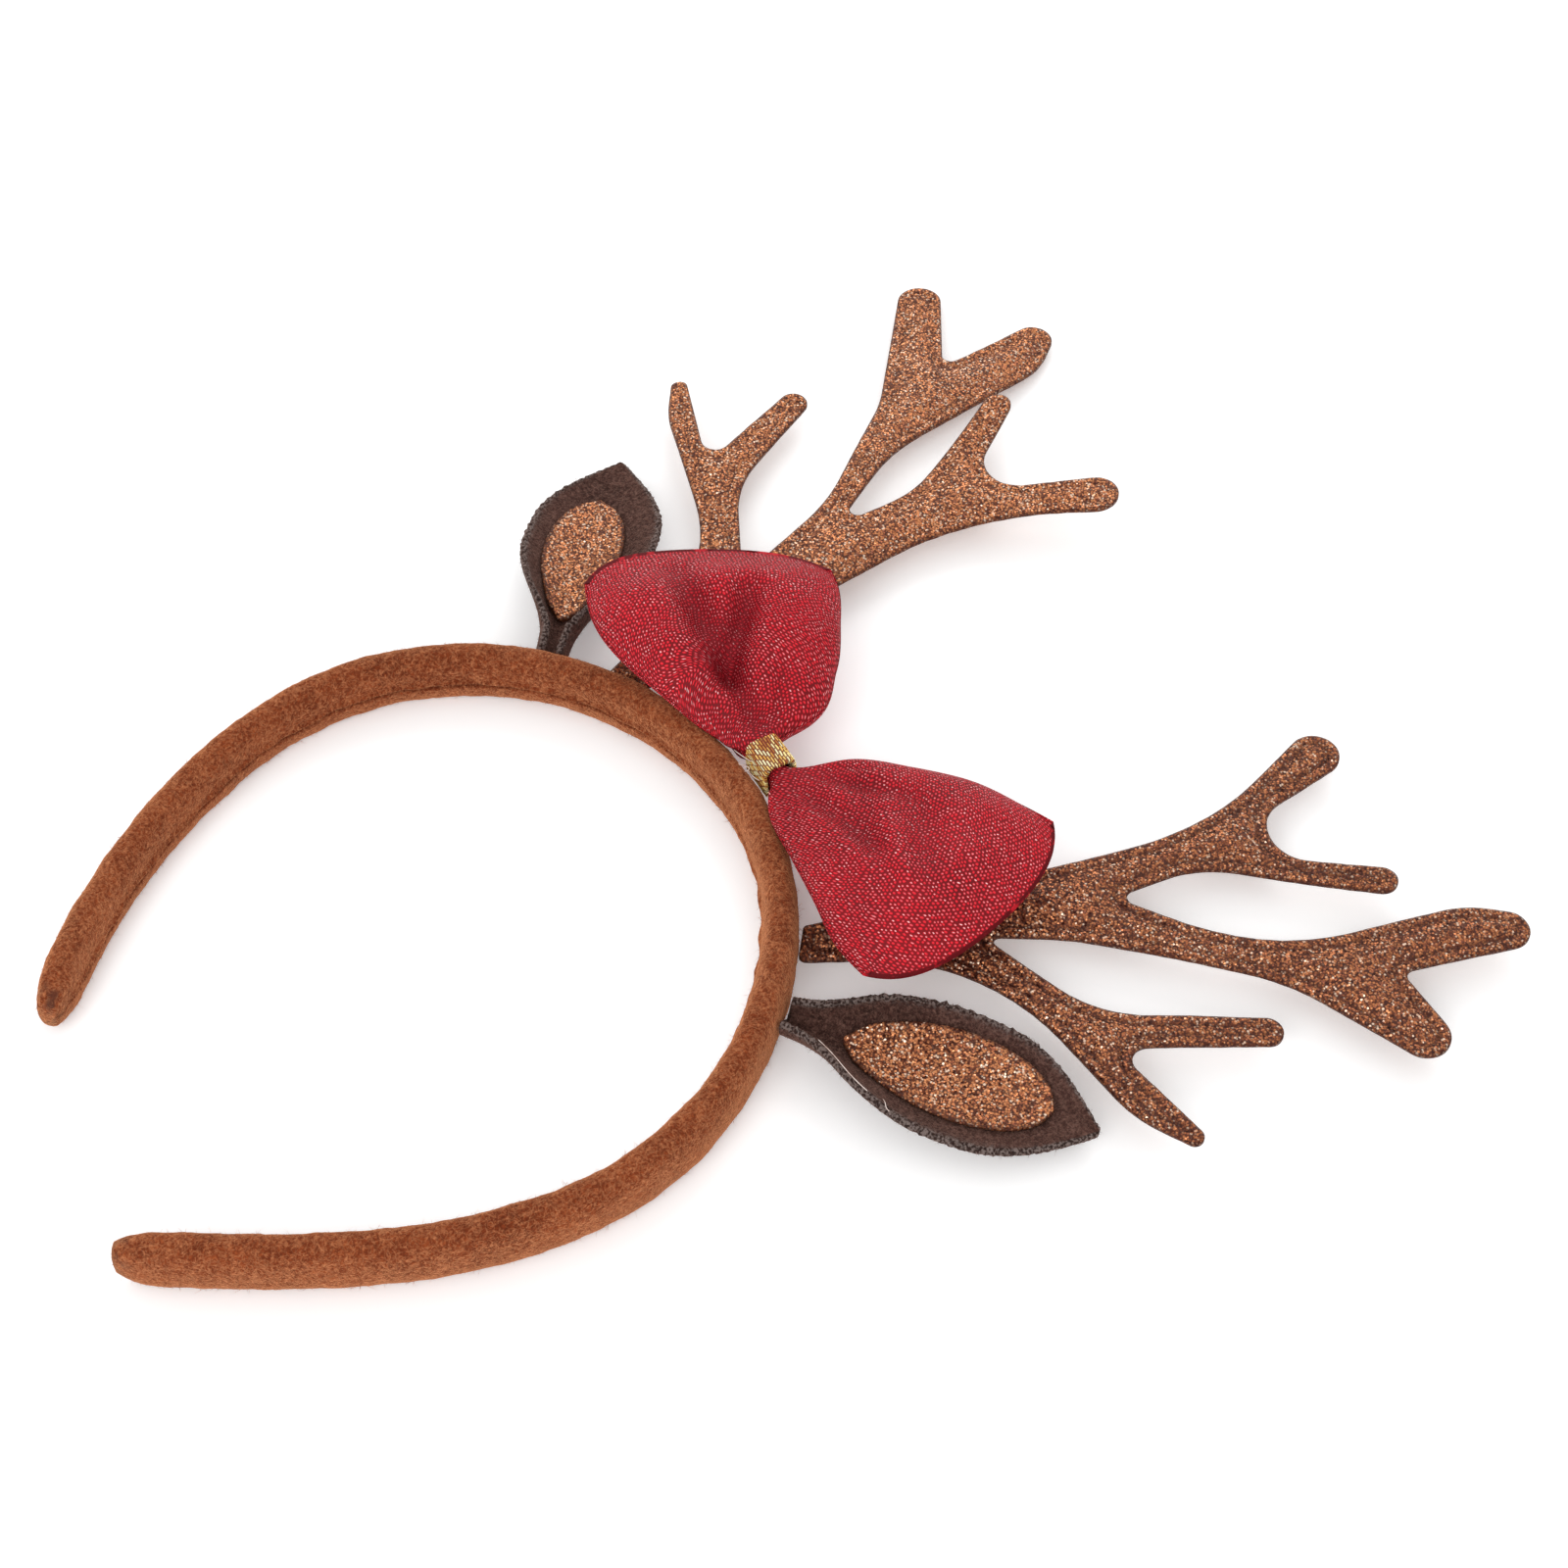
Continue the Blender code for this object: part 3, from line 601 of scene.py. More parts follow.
def antler_net(outline):
    """Flat points of an antler, the outline first, and the triangles that join them."""
    ahead = np.roll(outline, -1, axis=0) - np.roll(outline, 1, axis=0)
    inward = np.stack([-ahead[:, 1], ahead[:, 0]], 1) / np.linalg.norm(ahead, axis=1)[:, None]
    rings = np.concatenate([outline + inward * far for far in RING_DISTANCES])
    wanted = np.repeat(RING_DISTANCES, len(outline))
    kept = distance_to_line(rings, outline) > wanted * RING_SLACK
    low, high = outline.min(axis=0), outline.max(axis=0)
    rows = np.arange(low[1], high[1], NET_STEP * math.sqrt(3) / 2)
    across = np.arange(low[0], high[0], NET_STEP)
    net_x = across[None, :] + (np.arange(len(rows)) % 2 * NET_STEP / 2)[:, None]
    net = np.stack([net_x, np.broadcast_to(rows[:, None], net_x.shape)], -1).reshape(-1, 2)
    net = net[inside(net, outline)]
    net = net[distance_to_line(net, outline) > RING_DISTANCES[-1] + NET_STEP * NET_CLEARANCE]
    flat = np.concatenate([outline, rings[kept], net])
    count = len(outline)
    edges = np.stack([np.arange(count), (np.arange(count) + 1) % count], 1)
    made = delaunay_2d_cdt(flat.tolist(), edges.tolist(), [], 1, SAME_POINT)
    return np.array([tuple(place) for place in made[0]]), np.array(made[2])


print("the net has", len(RING_DISTANCES), "rings inside the outline")

# %% [markdown]
# ## From net to antler
# The limbs don't lie quite flat. From the place where they part each one rises or sinks
# towards its tip, and the whole fabric waves a little. Front and back use the same net, and
# a wall joins them along the edges that only one triangle has.

# %% Antlers
ANTLER_SEAT = 0.0375
SIDE_LIMB_BELOW = 15.0          # degrees, seen from the big crotch
RISE_START = 0.115              # shares of the antler's height
RISE_REACH = 0.42
ANTLER_WANDER = 0.00035         # how far the fabric's middle leaves its plane
ANTLER_WAVES = (0.03, 0.07)
ANTLER_GRAIN = 0.00006          # height of the fabric's own unevenness
GRAIN_WAVES = (0.002, 0.006)
# The dark line is partly the pressed line's own colour, partly painted shade of its groove.
LINE_SPREAD = 1.3               # the dark line's width, as a share of the pressed one's


def limb_height(x, y, style):
    """Height that the main limb and the branch add, eased from nothing to their tips."""
    root_x, root_y = pulley_centres(style["side"])["big_crotch"]
    heading = np.degrees(np.arctan2(y - root_y, x - root_x))
    eased = ease((np.hypot(x - root_x, y - root_y) - RISE_START) / RISE_REACH)
    on_main = (heading > SIDE_LIMB_BELOW) & (heading <= style["parting"])
    on_branch = (heading > style["parting"]) & (heading <= 180.0)
    return eased * (style["main_rise"] * on_main + style["branch_rise"] * on_branch)


def make_antler(name, style):
    """Front and back from the same net, joined by a wall along the triangles' free edges."""
    outline = outlines[name]
    flat, triangles = antler_net(outline)
    distance = distance_to_line(flat, outline)
    width, height = np.ptp(belt(LEFT), axis=0)
    share_x, share_y = flat[:, 0] * width / ANTLER_WIDTH, flat[:, 1] * height / ANTLER_HEIGHT
    seat_x, seat_y, _ = seat_on_band(style["side"], ANTLER_SEAT)
    middle = BAND_WIDTH / 2 + limb_height(share_x, share_y, style) * ANTLER_HEIGHT
    middle = middle + ANTLER_WANDER * wander(20, *ANTLER_WAVES, *flat.T)
    half = half_thickness(distance) + ANTLER_GRAIN * wander(21, *GRAIN_WAVES, *flat.T)
    x, y = seat_x + style["side"] * flat[:, 0], seat_y + flat[:, 1]
    points = np.concatenate([np.stack([x, y, z], 1) for z in (middle + half, middle - half)])
    count = len(flat)
    start, end = (triangles[:, order].ravel() for order in ([0, 1, 2], [1, 2, 0]))
    free = ~np.isin(start * count + end, end * count + start)
    start, end = start[free], end[free]
    wall = [(end, start, start + count), (end, start + count, end + count)]
    wall = [np.stack(corners, 1) for corners in wall]
    triangles = np.concatenate([triangles, triangles[:, ::-1] + count, *wall])
    # The pressed line is darkened: partly its own colour, partly painted shade of its groove, stronger on
    # the near antler.
    pressed = bell((distance - PRESSED_AT) / (PRESSED_WIDTH * LINE_SPREAD)) * style["line"]
    cut = 1 - ease(distance / EDGE_ROUNDING)
    marks = {"pressed": np.tile(pressed, 2), "cut": np.tile(cut, 2)}
    return make_piece("glitter_antler_" + name, points, triangles, "antler_" + name,
                      marks=marks)


antlers = {name: make_antler(name, style) for name, style in ANTLERS.items()}

# %% [markdown]
# ## The ears
# An ear is a leaf of thick felt, rolled up at both long sides and pinched where it meets
# the band. Bending a flat mesh with modifiers would work, but the pinch is easier to say
# as numbers: across the leaf the felt follows an arc, and a table gives the leaf's half
# width and the arc's half angle at a few shares of its length. The insert is a second,
# smaller leaf of glitter fabric that lies on the first, so it uses the same function with
# a little more height above the felt.

# %% Tables of the ears
EAR_LENGTH = 0.062
EAR_WIDTH = 0.0295
EAR_THICKNESS = 0.0016
EAR_BASE_HEIGHT = 0.0052
EAR_TIP_HEIGHT = 0.0048
EAR_ROWS = [
    # share  half   roll
    (0.00,   0.44, 125.0),
    (0.08,   0.50, 112.0),
    (0.16,   0.62,  88.0),
    (0.25,   0.80,  62.0),
    (0.35,   0.92,  42.0),
    (0.46,   1.00,  28.0),
    (0.58,   1.00,  20.0),
    (0.72,   0.91,  15.0),
    (0.85,   0.62,  11.0),
    (0.94,   0.30,   8.0),
    (1.00,   0.06,   6.0),
]
MOST_ROLL = math.radians(150)   # no half angle of the arc is wider
# Each ear: its place along the band, its lean in degrees, how much more it rolls up than
# the table says, and its insert's size and distance from the middle line.
EARS = {
    "left": {"side": LEFT, "seat": 0.0545, "lean": -7.0, "cupped": 1.0, "seed": 31,
             "insert": 1.0, "insert_off": 0.0002},
    "right": {"side": RIGHT, "seat": 0.0530, "lean": -3.5, "cupped": 1.45, "seed": 32,
              "insert": 0.88, "insert_off": -0.0013},
}
print("an ear is", round(EAR_LENGTH * 1000), "mm long and rolled in by its table")

# %% [markdown]
# ## The cupped felt
# Every point of an ear, of its insert and of a thread on it is asked from one function, by
# its distance along the leaf, across the felt and above it. So they all follow one roll.

# %% Cupped surface
def ear_surface(style, along, across, above):
    """Points of the cupped leaf.

    along is the distance from the base, across the distance from the middle line
    measured on the felt, and above the height over the felt's middle surface. The
    felt's section is an arc whose half angle is the roll at that share of the length.
    """
    table = np.array(EAR_ROWS)
    share = np.clip(along / EAR_LENGTH, 0.0, 1.0)
    half = through(table[:, 0], table[:, 1], share) * EAR_WIDTH / 2
    roll = np.radians(through(table[:, 0], table[:, 2], share)) * style["cupped"]
    radius = half / np.minimum(roll, MOST_ROLL)
    angle = across / radius
    sideways = (radius - above) * np.sin(angle)
    rise = radius - (radius - above) * np.cos(angle)
    middle = EAR_BASE_HEIGHT + (EAR_TIP_HEIGHT - EAR_BASE_HEIGHT) * ease(share)
    seat_x, seat_y, slope = seat_on_band(style["side"], style["seat"])
    heading = math.pi / 2 - slope + math.radians(style["lean"])
    x = along * math.cos(heading) - sideways * math.sin(heading)
    y = along * math.sin(heading) + sideways * math.cos(heading)
    return np.stack([seat_x + style["side"] * x, seat_y + y, middle + rise], axis=-1)


print("the ear's tip is at", ear_surface(EARS["left"], EAR_LENGTH, 0.0, 0.0).round(3).tolist())

# %% [markdown]
# ## A leaf with a thickness
# Front, cut edge and back of a leaf are one ring at each place along it. The edge is round
# and strays a little, as scissors leave it in felt.

# %% Rings of a leaf
LEAF_ROWS = 190
LEAF_COLUMNS = 64
RIM_COLUMNS = 6
LEAF_RELIEF = 0.06              # height of the front's unevenness, a share of the thickness
RELIEF_WAVES = (0.002, 0.008)
RAGGED_WAVES = (0.0006, 0.0030)
SWELL_POWER = 4
CUT_POWER = 24                  # the higher, the nearer the edge the cut mark keeps


def leaf_rings(style, rows, length, width, start, thickness, lift, ragged, swell, sidelong=0.0):
    """Rings of a closed leaf: over its front, round one edge, over its back, round the other.

    The edge is half a circle of the leaf's thickness. start is its distance from the
    ear's base and lift its height over the felt's middle, ragged is how far the cut edge
    strays, swell how much the front stands proud in the middle, and sidelong how far the
    leaf lies off the middle line. A mark tells how near each point is to the cut edge.
    """
    table = np.array(rows)
    share = (1 - np.cos(np.linspace(0.0, math.pi, LEAF_ROWS))) / 2
    half = through(table[:, 0], table[:, 1], share)[:, None] * width / 2
    along = (start + share * length)[:, None]
    stray = [ragged * wander(style["seed"] + k, *RAGGED_WAVES, along, waves=12) for k in (0, 1)]
    flat = np.linspace(-1.0, 1.0, LEAF_COLUMNS)[None, :]
    thick = thickness / 2
    over = flat * (half + np.where(flat > 0, stray[0], stray[1]) - thick)
    round_edge = np.linspace(0.0, math.pi, RIM_COLUMNS + 2)[None, 1:-1]
    edge_out = half + stray[0] - thick + thick * np.sin(round_edge)
    edge_back = -(half + stray[1] - thick + thick * np.sin(round_edge))
    edge_up = thick * np.cos(round_edge) + 0 * half
    plump = swell * (1 - flat ** SWELL_POWER) + 0 * half
    relief = thickness * LEAF_RELIEF * wander(style["seed"] + 5, *RELIEF_WAVES, along, over)
    across = np.concatenate([over, edge_out, over[:, ::-1], edge_back], axis=1)
    above = np.concatenate([thick + plump + relief, edge_up, -thick + 0 * over, -edge_up], axis=1)
    cut = np.abs(flat) ** CUT_POWER + 0 * half
    cut = np.concatenate([cut, 1 + 0 * edge_up, cut, 1 + 0 * edge_up], axis=1)
    along = np.broadcast_to(along, across.shape)
    return ear_surface(style, along, across + sidelong, lift + above), cut


print("a leaf has", LEAF_ROWS, "rings")

# %% [markdown]
# ## Ears and inserts
# The insert is glued on the felt, so it starts half of both thicknesses above the felt's
# middle. The far ear's insert is cut smaller, and lies nearer to one edge.

# %% Ears
INSERT_LENGTH = 0.041
INSERT_WIDTH = 0.0205
INSERT_THICKNESS = 0.0010
INSERT_START = 0.0120
INSERT_ROWS = [
    # share  half
    (0.00,   0.10),
    (0.06,   0.42),
    (0.20,   0.74),
    (0.40,   0.96),
    (0.56,   1.00),
    (0.74,   0.90),
    (0.90,   0.62),
    (0.97,   0.34),
    (1.00,   0.08),
]
EAR_BASE_HALF = 0.0038          # half the width of the rolled base
EAR_RAGGED = 0.00022            # how far the felt's cut edge strays
INSERT_RAGGED = 0.00004
INSERT_SWELL = 0.0003           # how much an insert's front stands proud in the middle


def make_leaf(name, node, rings, cut):
    """A closed leaf, its cut edge marked for the material."""
    points, triangles, _ = close_tube(rings)
    marks = {"cut": np.append(cut.ravel(), [1.0, 1.0])}
    return make_piece(name, points, triangles, node, marks=marks)


ears, inserts = {}, {}
for name, style in EARS.items():
    foot = EAR_BASE_HALF * abs(math.sin(math.radians(style["lean"])))
    rings, cut = leaf_rings(style, EAR_ROWS, EAR_LENGTH - foot, EAR_WIDTH, foot, EAR_THICKNESS, 0.0,
                            EAR_RAGGED, 0.0)
    ears[name] = make_leaf("felt_ear_" + name, "ear_" + name, rings, cut)
    lift = EAR_THICKNESS / 2 + GAP / 2 + INSERT_THICKNESS / 2
    length, width = INSERT_LENGTH * style["insert"], INSERT_WIDTH * style["insert"]
    rings, cut = leaf_rings(style, INSERT_ROWS, length, width, INSERT_START, INSERT_THICKNESS, lift,
                            INSERT_RAGGED, INSERT_SWELL, style["insert_off"])
    inserts[name] = make_leaf("glitter_insert_" + name, "ear_insert_" + name, rings, cut)

# %% [markdown]
# ## The felt that an ear is cut from
# The ears are soft, so the flat size of their felt is worked out and printed. The area is
# the mean share of the width in the table, times the leaf's width and length.

# %% Flat size of the ears
half_widths = through(*np.array(EAR_ROWS).T[:2], np.linspace(0.0, 1.0, LEAF_ROWS))
ear_area = half_widths.mean() * EAR_WIDTH * EAR_LENGTH
print("an ear is cut from", round(ear_area * 1e4, 1), "square centimetres of felt")

# %% [markdown]
# ## The bow
# The bow is a folded and stuffed pillow of red knit, drawn in at its waist. A table gives
# each wing as lines from one long edge to the other, from the waist outwards, and the
# pillow's fullness along them. Inflating a flat cushion with cloth physics would give its
# own folds, but not the ones in the photo.

# %% Table of the bow
BOW_SPAN = 0.1215
BOW_DEPTH = 0.0520
BOW_THICKNESS = 0.0140
WAIST_DEPTH = 0.0052
WAIST_THICKNESS = 0.0068
WAIST_HEIGHT = 0.0123
RIBBON_WIDTH = 0.0078
RIBBON_THICKNESS = 0.0007
WAIST = WAIST_DEPTH / 2 / BOW_DEPTH
WING_ROWS = {
    LEFT: [
        # share  low x   low y   high x  high y  bulge  fullness
        (0.00,   0.000, -WAIST,  0.000,  WAIST,  0.00,  0.60),
        (0.07,   0.070, -WAIST,  0.070,  WAIST,  0.00,  0.60),
        (0.12,   0.118, -0.088,  0.095,  0.180,  0.02,  0.62),
        (0.18,   0.170, -0.124,  0.118,  0.256,  0.03,  0.66),
        (0.38,   0.376, -0.170,  0.280,  0.440,  0.06,  0.86),
        (0.60,   0.600, -0.215,  0.450,  0.600,  0.09,  1.00),
        (0.80,   0.780, -0.260,  0.580,  0.710,  0.12,  0.96),
        (1.00,   1.000, -0.262,  0.730,  0.838,  0.10,  0.30),
    ],
    RIGHT: [
        (0.00,   0.000, -WAIST,  0.000,  WAIST,  0.00,  0.60),
        (0.07,   0.070, -WAIST,  0.070,  WAIST,  0.00,  0.60),
        (0.12,   0.115, -0.104,  0.085,  0.130,  0.02,  0.62),
        (0.18,   0.165, -0.125,  0.090,  0.240,  0.03,  0.66),
        (0.38,   0.360, -0.215,  0.210,  0.428,  0.05,  0.84),
        (0.60,   0.580, -0.302,  0.355,  0.548,  0.07,  1.00),
        (0.80,   0.785, -0.318,  0.480,  0.645,  0.08,  0.96),
        (1.00,   1.035, -0.250,  0.605,  0.712,  0.08,  0.30),
    ],
}
print("the wings have", len(WING_ROWS[LEFT]), "and", len(WING_ROWS[RIGHT]), "rows")

# %% [markdown]
# ## One wing
# Each line of a wing bows outwards in its middle, and the corners are drawn in a little.
# Across it the pillow is thickest in the middle and closes at both long edges.

# %% Surface of a wing
WAIST_SHARE = 0.07              # of the way out, the part that the ribbon holds
WING_OPENING = 0.3              # of the way out, from the waist to the open wing
CORNER_SOFTNESS = 0.08
CORNER_POWER = 4.5
RIM_POWER = 2.6
END_POWER = 5
EDGE_SEAM = 0.02                # half thickness of the outer edge, a share of the whole


def wing_surface(side, out, across):
    """Place in plan and fullness of a wing at (out, across), as a share of the bow's.

    out runs from 0 at the waist to 1 at the outer edge, across from -1 to 1 along Y. A
    row of the table gives the two ends of its line, which bows outwards in the middle.
    """
    table = np.array(WING_ROWS[side])
    drawn_out = out * (1 - CORNER_SOFTNESS * np.abs(across) ** CORNER_POWER)
    drawn_across = across * (1 - CORNER_SOFTNESS * out ** CORNER_POWER)
    low_x, low_y, high_x, high_y, bulge, full = (
        through(table[:, 0], table[:, k], drawn_out) for k in range(1, 7))
    t = (drawn_across + 1) / 2
    lean = np.arctan2(high_x - low_x, high_y - low_y)
    x = low_x + (high_x - low_x) * t + bulge * (1 - drawn_across ** 2) * np.cos(lean)
    y = low_y + (high_y - low_y) * t
    rim = np.sqrt(np.clip(1 - np.abs(across) ** RIM_POWER, 0.0, 1.0))
    waist = WAIST_THICKNESS / BOW_THICKNESS
    full = full + (waist - table[0, 6]) * (1 - ease((out - WAIST_SHARE) / WING_OPENING))
    end = np.sqrt(np.clip(1 - out ** END_POWER, 0.0, 1.0))
    return x * BOW_SPAN / 2, y * BOW_DEPTH, full * rim * np.maximum(end, EDGE_SEAM)


print("full at the waist:", wing_surface(LEFT, 0.0, 0.0)[2].round(3))

# %% [markdown]
# ## Creases
# The knit is gathered under the ribbon, so creases fan out from there, and the far wing has
# a deep dimple. Each crease is a line with a depth that falls off beside it as a bell.

# %% Creases of the bow
# Both ends of a crease in metres from the waist (out, up), its depth and its width. A
# negative depth is a swelling.
CREASES = {
    LEFT: [
        # x0      y0      x1      y1     depth   width
        (0.003,  0.001,  0.026,  0.016, 0.0026, 0.0022),
        (0.003, -0.001,  0.034,  0.004, 0.0026, 0.0026),
        (0.003,  0.002,  0.014,  0.014, 0.0014, 0.0016),
        (0.003, -0.002,  0.022, -0.006, 0.0014, 0.0018),
        (0.026,  0.018,  0.046,  0.008, 0.0020, 0.0040),
        (0.018,  0.009,  0.042,  0.001, 0.0017, 0.0034),
        (0.024, -0.003,  0.048, -0.005, 0.0009, 0.0030),
        (0.030,  0.008,  0.046,  0.003, -0.0009, 0.0026),
    ],
    RIGHT: [
        (0.003,  0.001,  0.021,  0.002, 0.0036, 0.0026),
        (0.003,  0.002,  0.016,  0.012, 0.0018, 0.0018),
        (0.003, -0.002,  0.018, -0.006, 0.0016, 0.0018),
        (0.020,  0.001,  0.047,  0.004, 0.0044, 0.0038),
        (0.021,  0.002,  0.034,  0.014, 0.0050, 0.0030),
        (0.020,  0.001,  0.024,  0.003, 0.0020, 0.0026),
        (0.034,  0.007,  0.045,  0.012, -0.0016, 0.0034),
    ],
}
CREASE_ENDS = 0.55              # a crease's depth at its ends, a share of its depth


def creases(side, x, y):
    """Depth pressed into a wing's front: a bell of the distance from each crease's line."""
    depth = 0.0
    for x0, y0, x1, y1, deep, wide in CREASES[side]:
        run_x, run_y = x1 - x0, y1 - y0
        t = np.clip(((x - x0) * run_x + (y - y0) * run_y) / (run_x ** 2 + run_y ** 2), 0.0, 1.0)
        off = np.hypot(x - x0 - t * run_x, y - y0 - t * run_y)
        along = CREASE_ENDS + (1 - CREASE_ENDS) * np.sin(math.pi * t)
        depth = depth + deep * bell(off / wide) * along
    return depth


print("deepest crease:", max(row[4] for row in CREASES[RIGHT]) * 1000, "mm")

# %% [markdown]
# ## Over the band
# A wing that lies over the band rests on it. Its underside is no lower than `ON_BAND` there,
# and beyond the band's wall it may fall away steeply.

# %% Upper and lower side of the bow
WING_LIFT = {LEFT: 0.0038, RIGHT: 0.0060}
LIFT_REACH = 0.6
WING_BELLY = 0.40               # of the open wing's fullness, the part below its middle
CREASE_START = 0.1              # of the way out, over which the creases set in
KNIT_WANDER = 0.00035
KNIT_WAVES = (0.008, 0.024)
ON_BAND = BAND_WIDTH + 0.0005
REST_SLOPE = 12.0
THINNEST = 0.0007


def off_band(side, x, y):
    """Distance in plan from the band's outer wall: the gap along Y times the heading's cosine.

    Only the half of the leg next to the crown is read, where it still runs outwards.
    """
    _, leg_x, leg_y, heading = (line[:LEG_STEPS // 2] for line in leg(side))
    middle = np.interp(x, np.abs(leg_x), leg_y)
    slope = np.cos(np.interp(x, np.abs(leg_x), heading))
    return (y - middle) * slope - BAND_THICKNESS / 2


def bow_points(side, out, across):
    """Upper and lower points of the bow at (out, across).

    They stand above and below the wing's middle by its fullness. The creases are taken
    from the upper ones, and the lower ones are kept off the band.
    """
    x, y, full = wing_surface(side, out, across)
    middle = WAIST_HEIGHT + WING_LIFT[side] * ease((out - WAIST_SHARE) / LIFT_REACH)
    centre_y = BAND_THICKNESS / 2 + GAP + RIBBON_THICKNESS + GAP + WAIST_DEPTH / 2
    belly = 0.5 + (WING_BELLY - 0.5) * ease((out - WAIST_SHARE) / WING_OPENING)
    soft = ease((out - WAIST_SHARE) / CREASE_START) * np.clip(full, 0.0, 1.0)
    uneven = KNIT_WANDER * wander(41 + side, *KNIT_WAVES, x, y) * soft
    upper = middle + full * BOW_THICKNESS * (1 - belly) - creases(side, x, y) * soft + uneven
    lower = middle - full * BOW_THICKNESS * belly + uneven
    rest = ON_BAND - REST_SLOPE * np.clip(off_band(side, x, centre_y + y) - GAP, 0.0, None)
    lower = np.where(out > WAIST_SHARE, np.maximum(lower, rest), lower)
    upper = np.maximum(upper, lower + THINNEST * (out > WAIST_SHARE))
    return [np.stack([side * x, centre_y + y, height], -1) for height in (upper, lower)]


print("the bow's middle at the waist:", [float(p[2].round(4)) for p in bow_points(LEFT, 0.0, 0.0)])

# %% [markdown]
# ## Rings of the bow
# The bow is one tube from the right wing's outer edge to the left one's. Each ring goes over
# the front and back under the wing, and carries how deep it lies in a fold, which the knit
# turns into painted shade.

# %% Rings of the bow
DEEP_FOLD = 0.0045              # a fold this deep is in full shade
DARK_RIM = 0.975                # of the way out, where the shiny thread begins to fade
RIM_FADE = 0.02
WING_RING_COUNT = 110
WING_COLUMN_COUNT = 120
RING_CROWDING = 0.9

out = np.sin(np.linspace(0.0, math.pi / 2, WING_RING_COUNT)) ** RING_CROWDING
across = -np.cos(np.linspace(0.0, math.pi, WING_COLUMN_COUNT))
bow_rings, fold, edge = [], [], []
for side, order in ((RIGHT, out[:0:-1]), (LEFT, out)):
    grid_out, grid_across = np.meshgrid(order, across, indexing="ij")
    upper, lower = bow_points(side, grid_out, grid_across)
    bow_rings.append(np.concatenate([upper, lower[:, -2:0:-1]], axis=1))
    x, y, _ = wing_surface(side, grid_out, grid_across)
    depth = creases(side, x, y)
    fold.append(np.concatenate([depth, 0 * depth[:, -2:0:-1]], axis=1))
    edge.append(np.concatenate([grid_out, grid_out[:, -2:0:-1]], axis=1))
bow_rings, fold, edge = (np.concatenate(halves) for halves in (bow_rings, fold, edge))
print("the bow has", len(bow_rings), "rings")

# %% [markdown]
# ## The knit's own scale
# A flat UV map would stretch the knit's rows where the pillow turns down at its edges. So
# the map is the length measured on the cloth, round each ring and along its top line.

# %% Bow mesh and its weave
def running_length(points, axis):
    """Length from the first point along one side of a grid."""
    steps = np.linalg.norm(np.diff(points, axis=axis), axis=-1)
    start = np.zeros_like(np.take(steps, [0], axis=axis))
    return np.concatenate([start, np.cumsum(steps, axis=axis)], axis=axis)


bow_corner_points, bow_triangles, bow_corners = close_tube(bow_rings)
top_line = WING_COLUMN_COUNT // 2
looped = np.concatenate([bow_rings, bow_rings[:, :1]], axis=1)
around = running_length(looped, 1)
around = around - around[:, [top_line]]
outward = running_length(looped, 0)[:, [top_line]]
bow_weave = np.stack([np.broadcast_to(outward, around.shape), around], -1)
end_fans = np.zeros((len(bow_triangles) - len(bow_corners), 3), int)
# The fold mark darkens the knit as painted shade.
bow_marks = {"fold": np.clip(fold / DEEP_FOLD, 0.0, 1.0), "edge": ease((edge - DARK_RIM) / RIM_FADE)}
bow_marks = {mark: np.append(amounts.ravel(), [0.0, 0.0]) for mark, amounts in bow_marks.items()}
bow = make_piece("knitted_bow", bow_corner_points, bow_triangles, "bow",
                 weave=(bow_weave, np.concatenate([bow_corners, end_fans])), marks=bow_marks)

# %% [markdown]
# ## The ribbon round the waist
# A short length of woven gold ribbon is wrapped once round the waist. Its threads lie
# across it, from edge to edge, and stand out there as small loops. A flat strip with a
# thickness added later would be simpler, but its cut edges would stay square. A grid that
# closes both ways gives them their roundness: one way it goes round the loop, which is a
# rounded oblong, the other way round the ribbon's own thin section.

# %% Ribbon loop
LOOP_SQUARENESS = 0.42          # 1 is an ellipse, less is squarer
SECTION_SQUARENESS = 0.25
LOOP_FINENESS = 4001            # points that the loop's length is measured with
LOOP_ROWS = 400
RIBBON_COLUMNS = 72
THREAD_PITCH = 0.00052
THREAD_RELIEF = 0.00011
EDGE_LOOPS = 0.00016            # how far each thread stands out at the ribbon's edges
FRAYING = 0.04                  # share by which the ribbon's width changes
FRAYING_WAVES = (0.25, 0.9)     # as angles round the loop, in radians
PUCKERS = 0.00015
PUCKER_WAVES = (0.5, 1.4)
PUCKERS_ACROSS = 300            # turns a metre across the ribbon into radians


def signed_power(value, power):
    """The size of a value to a power, with the value's sign."""
    return np.sign(value) * np.abs(value) ** power


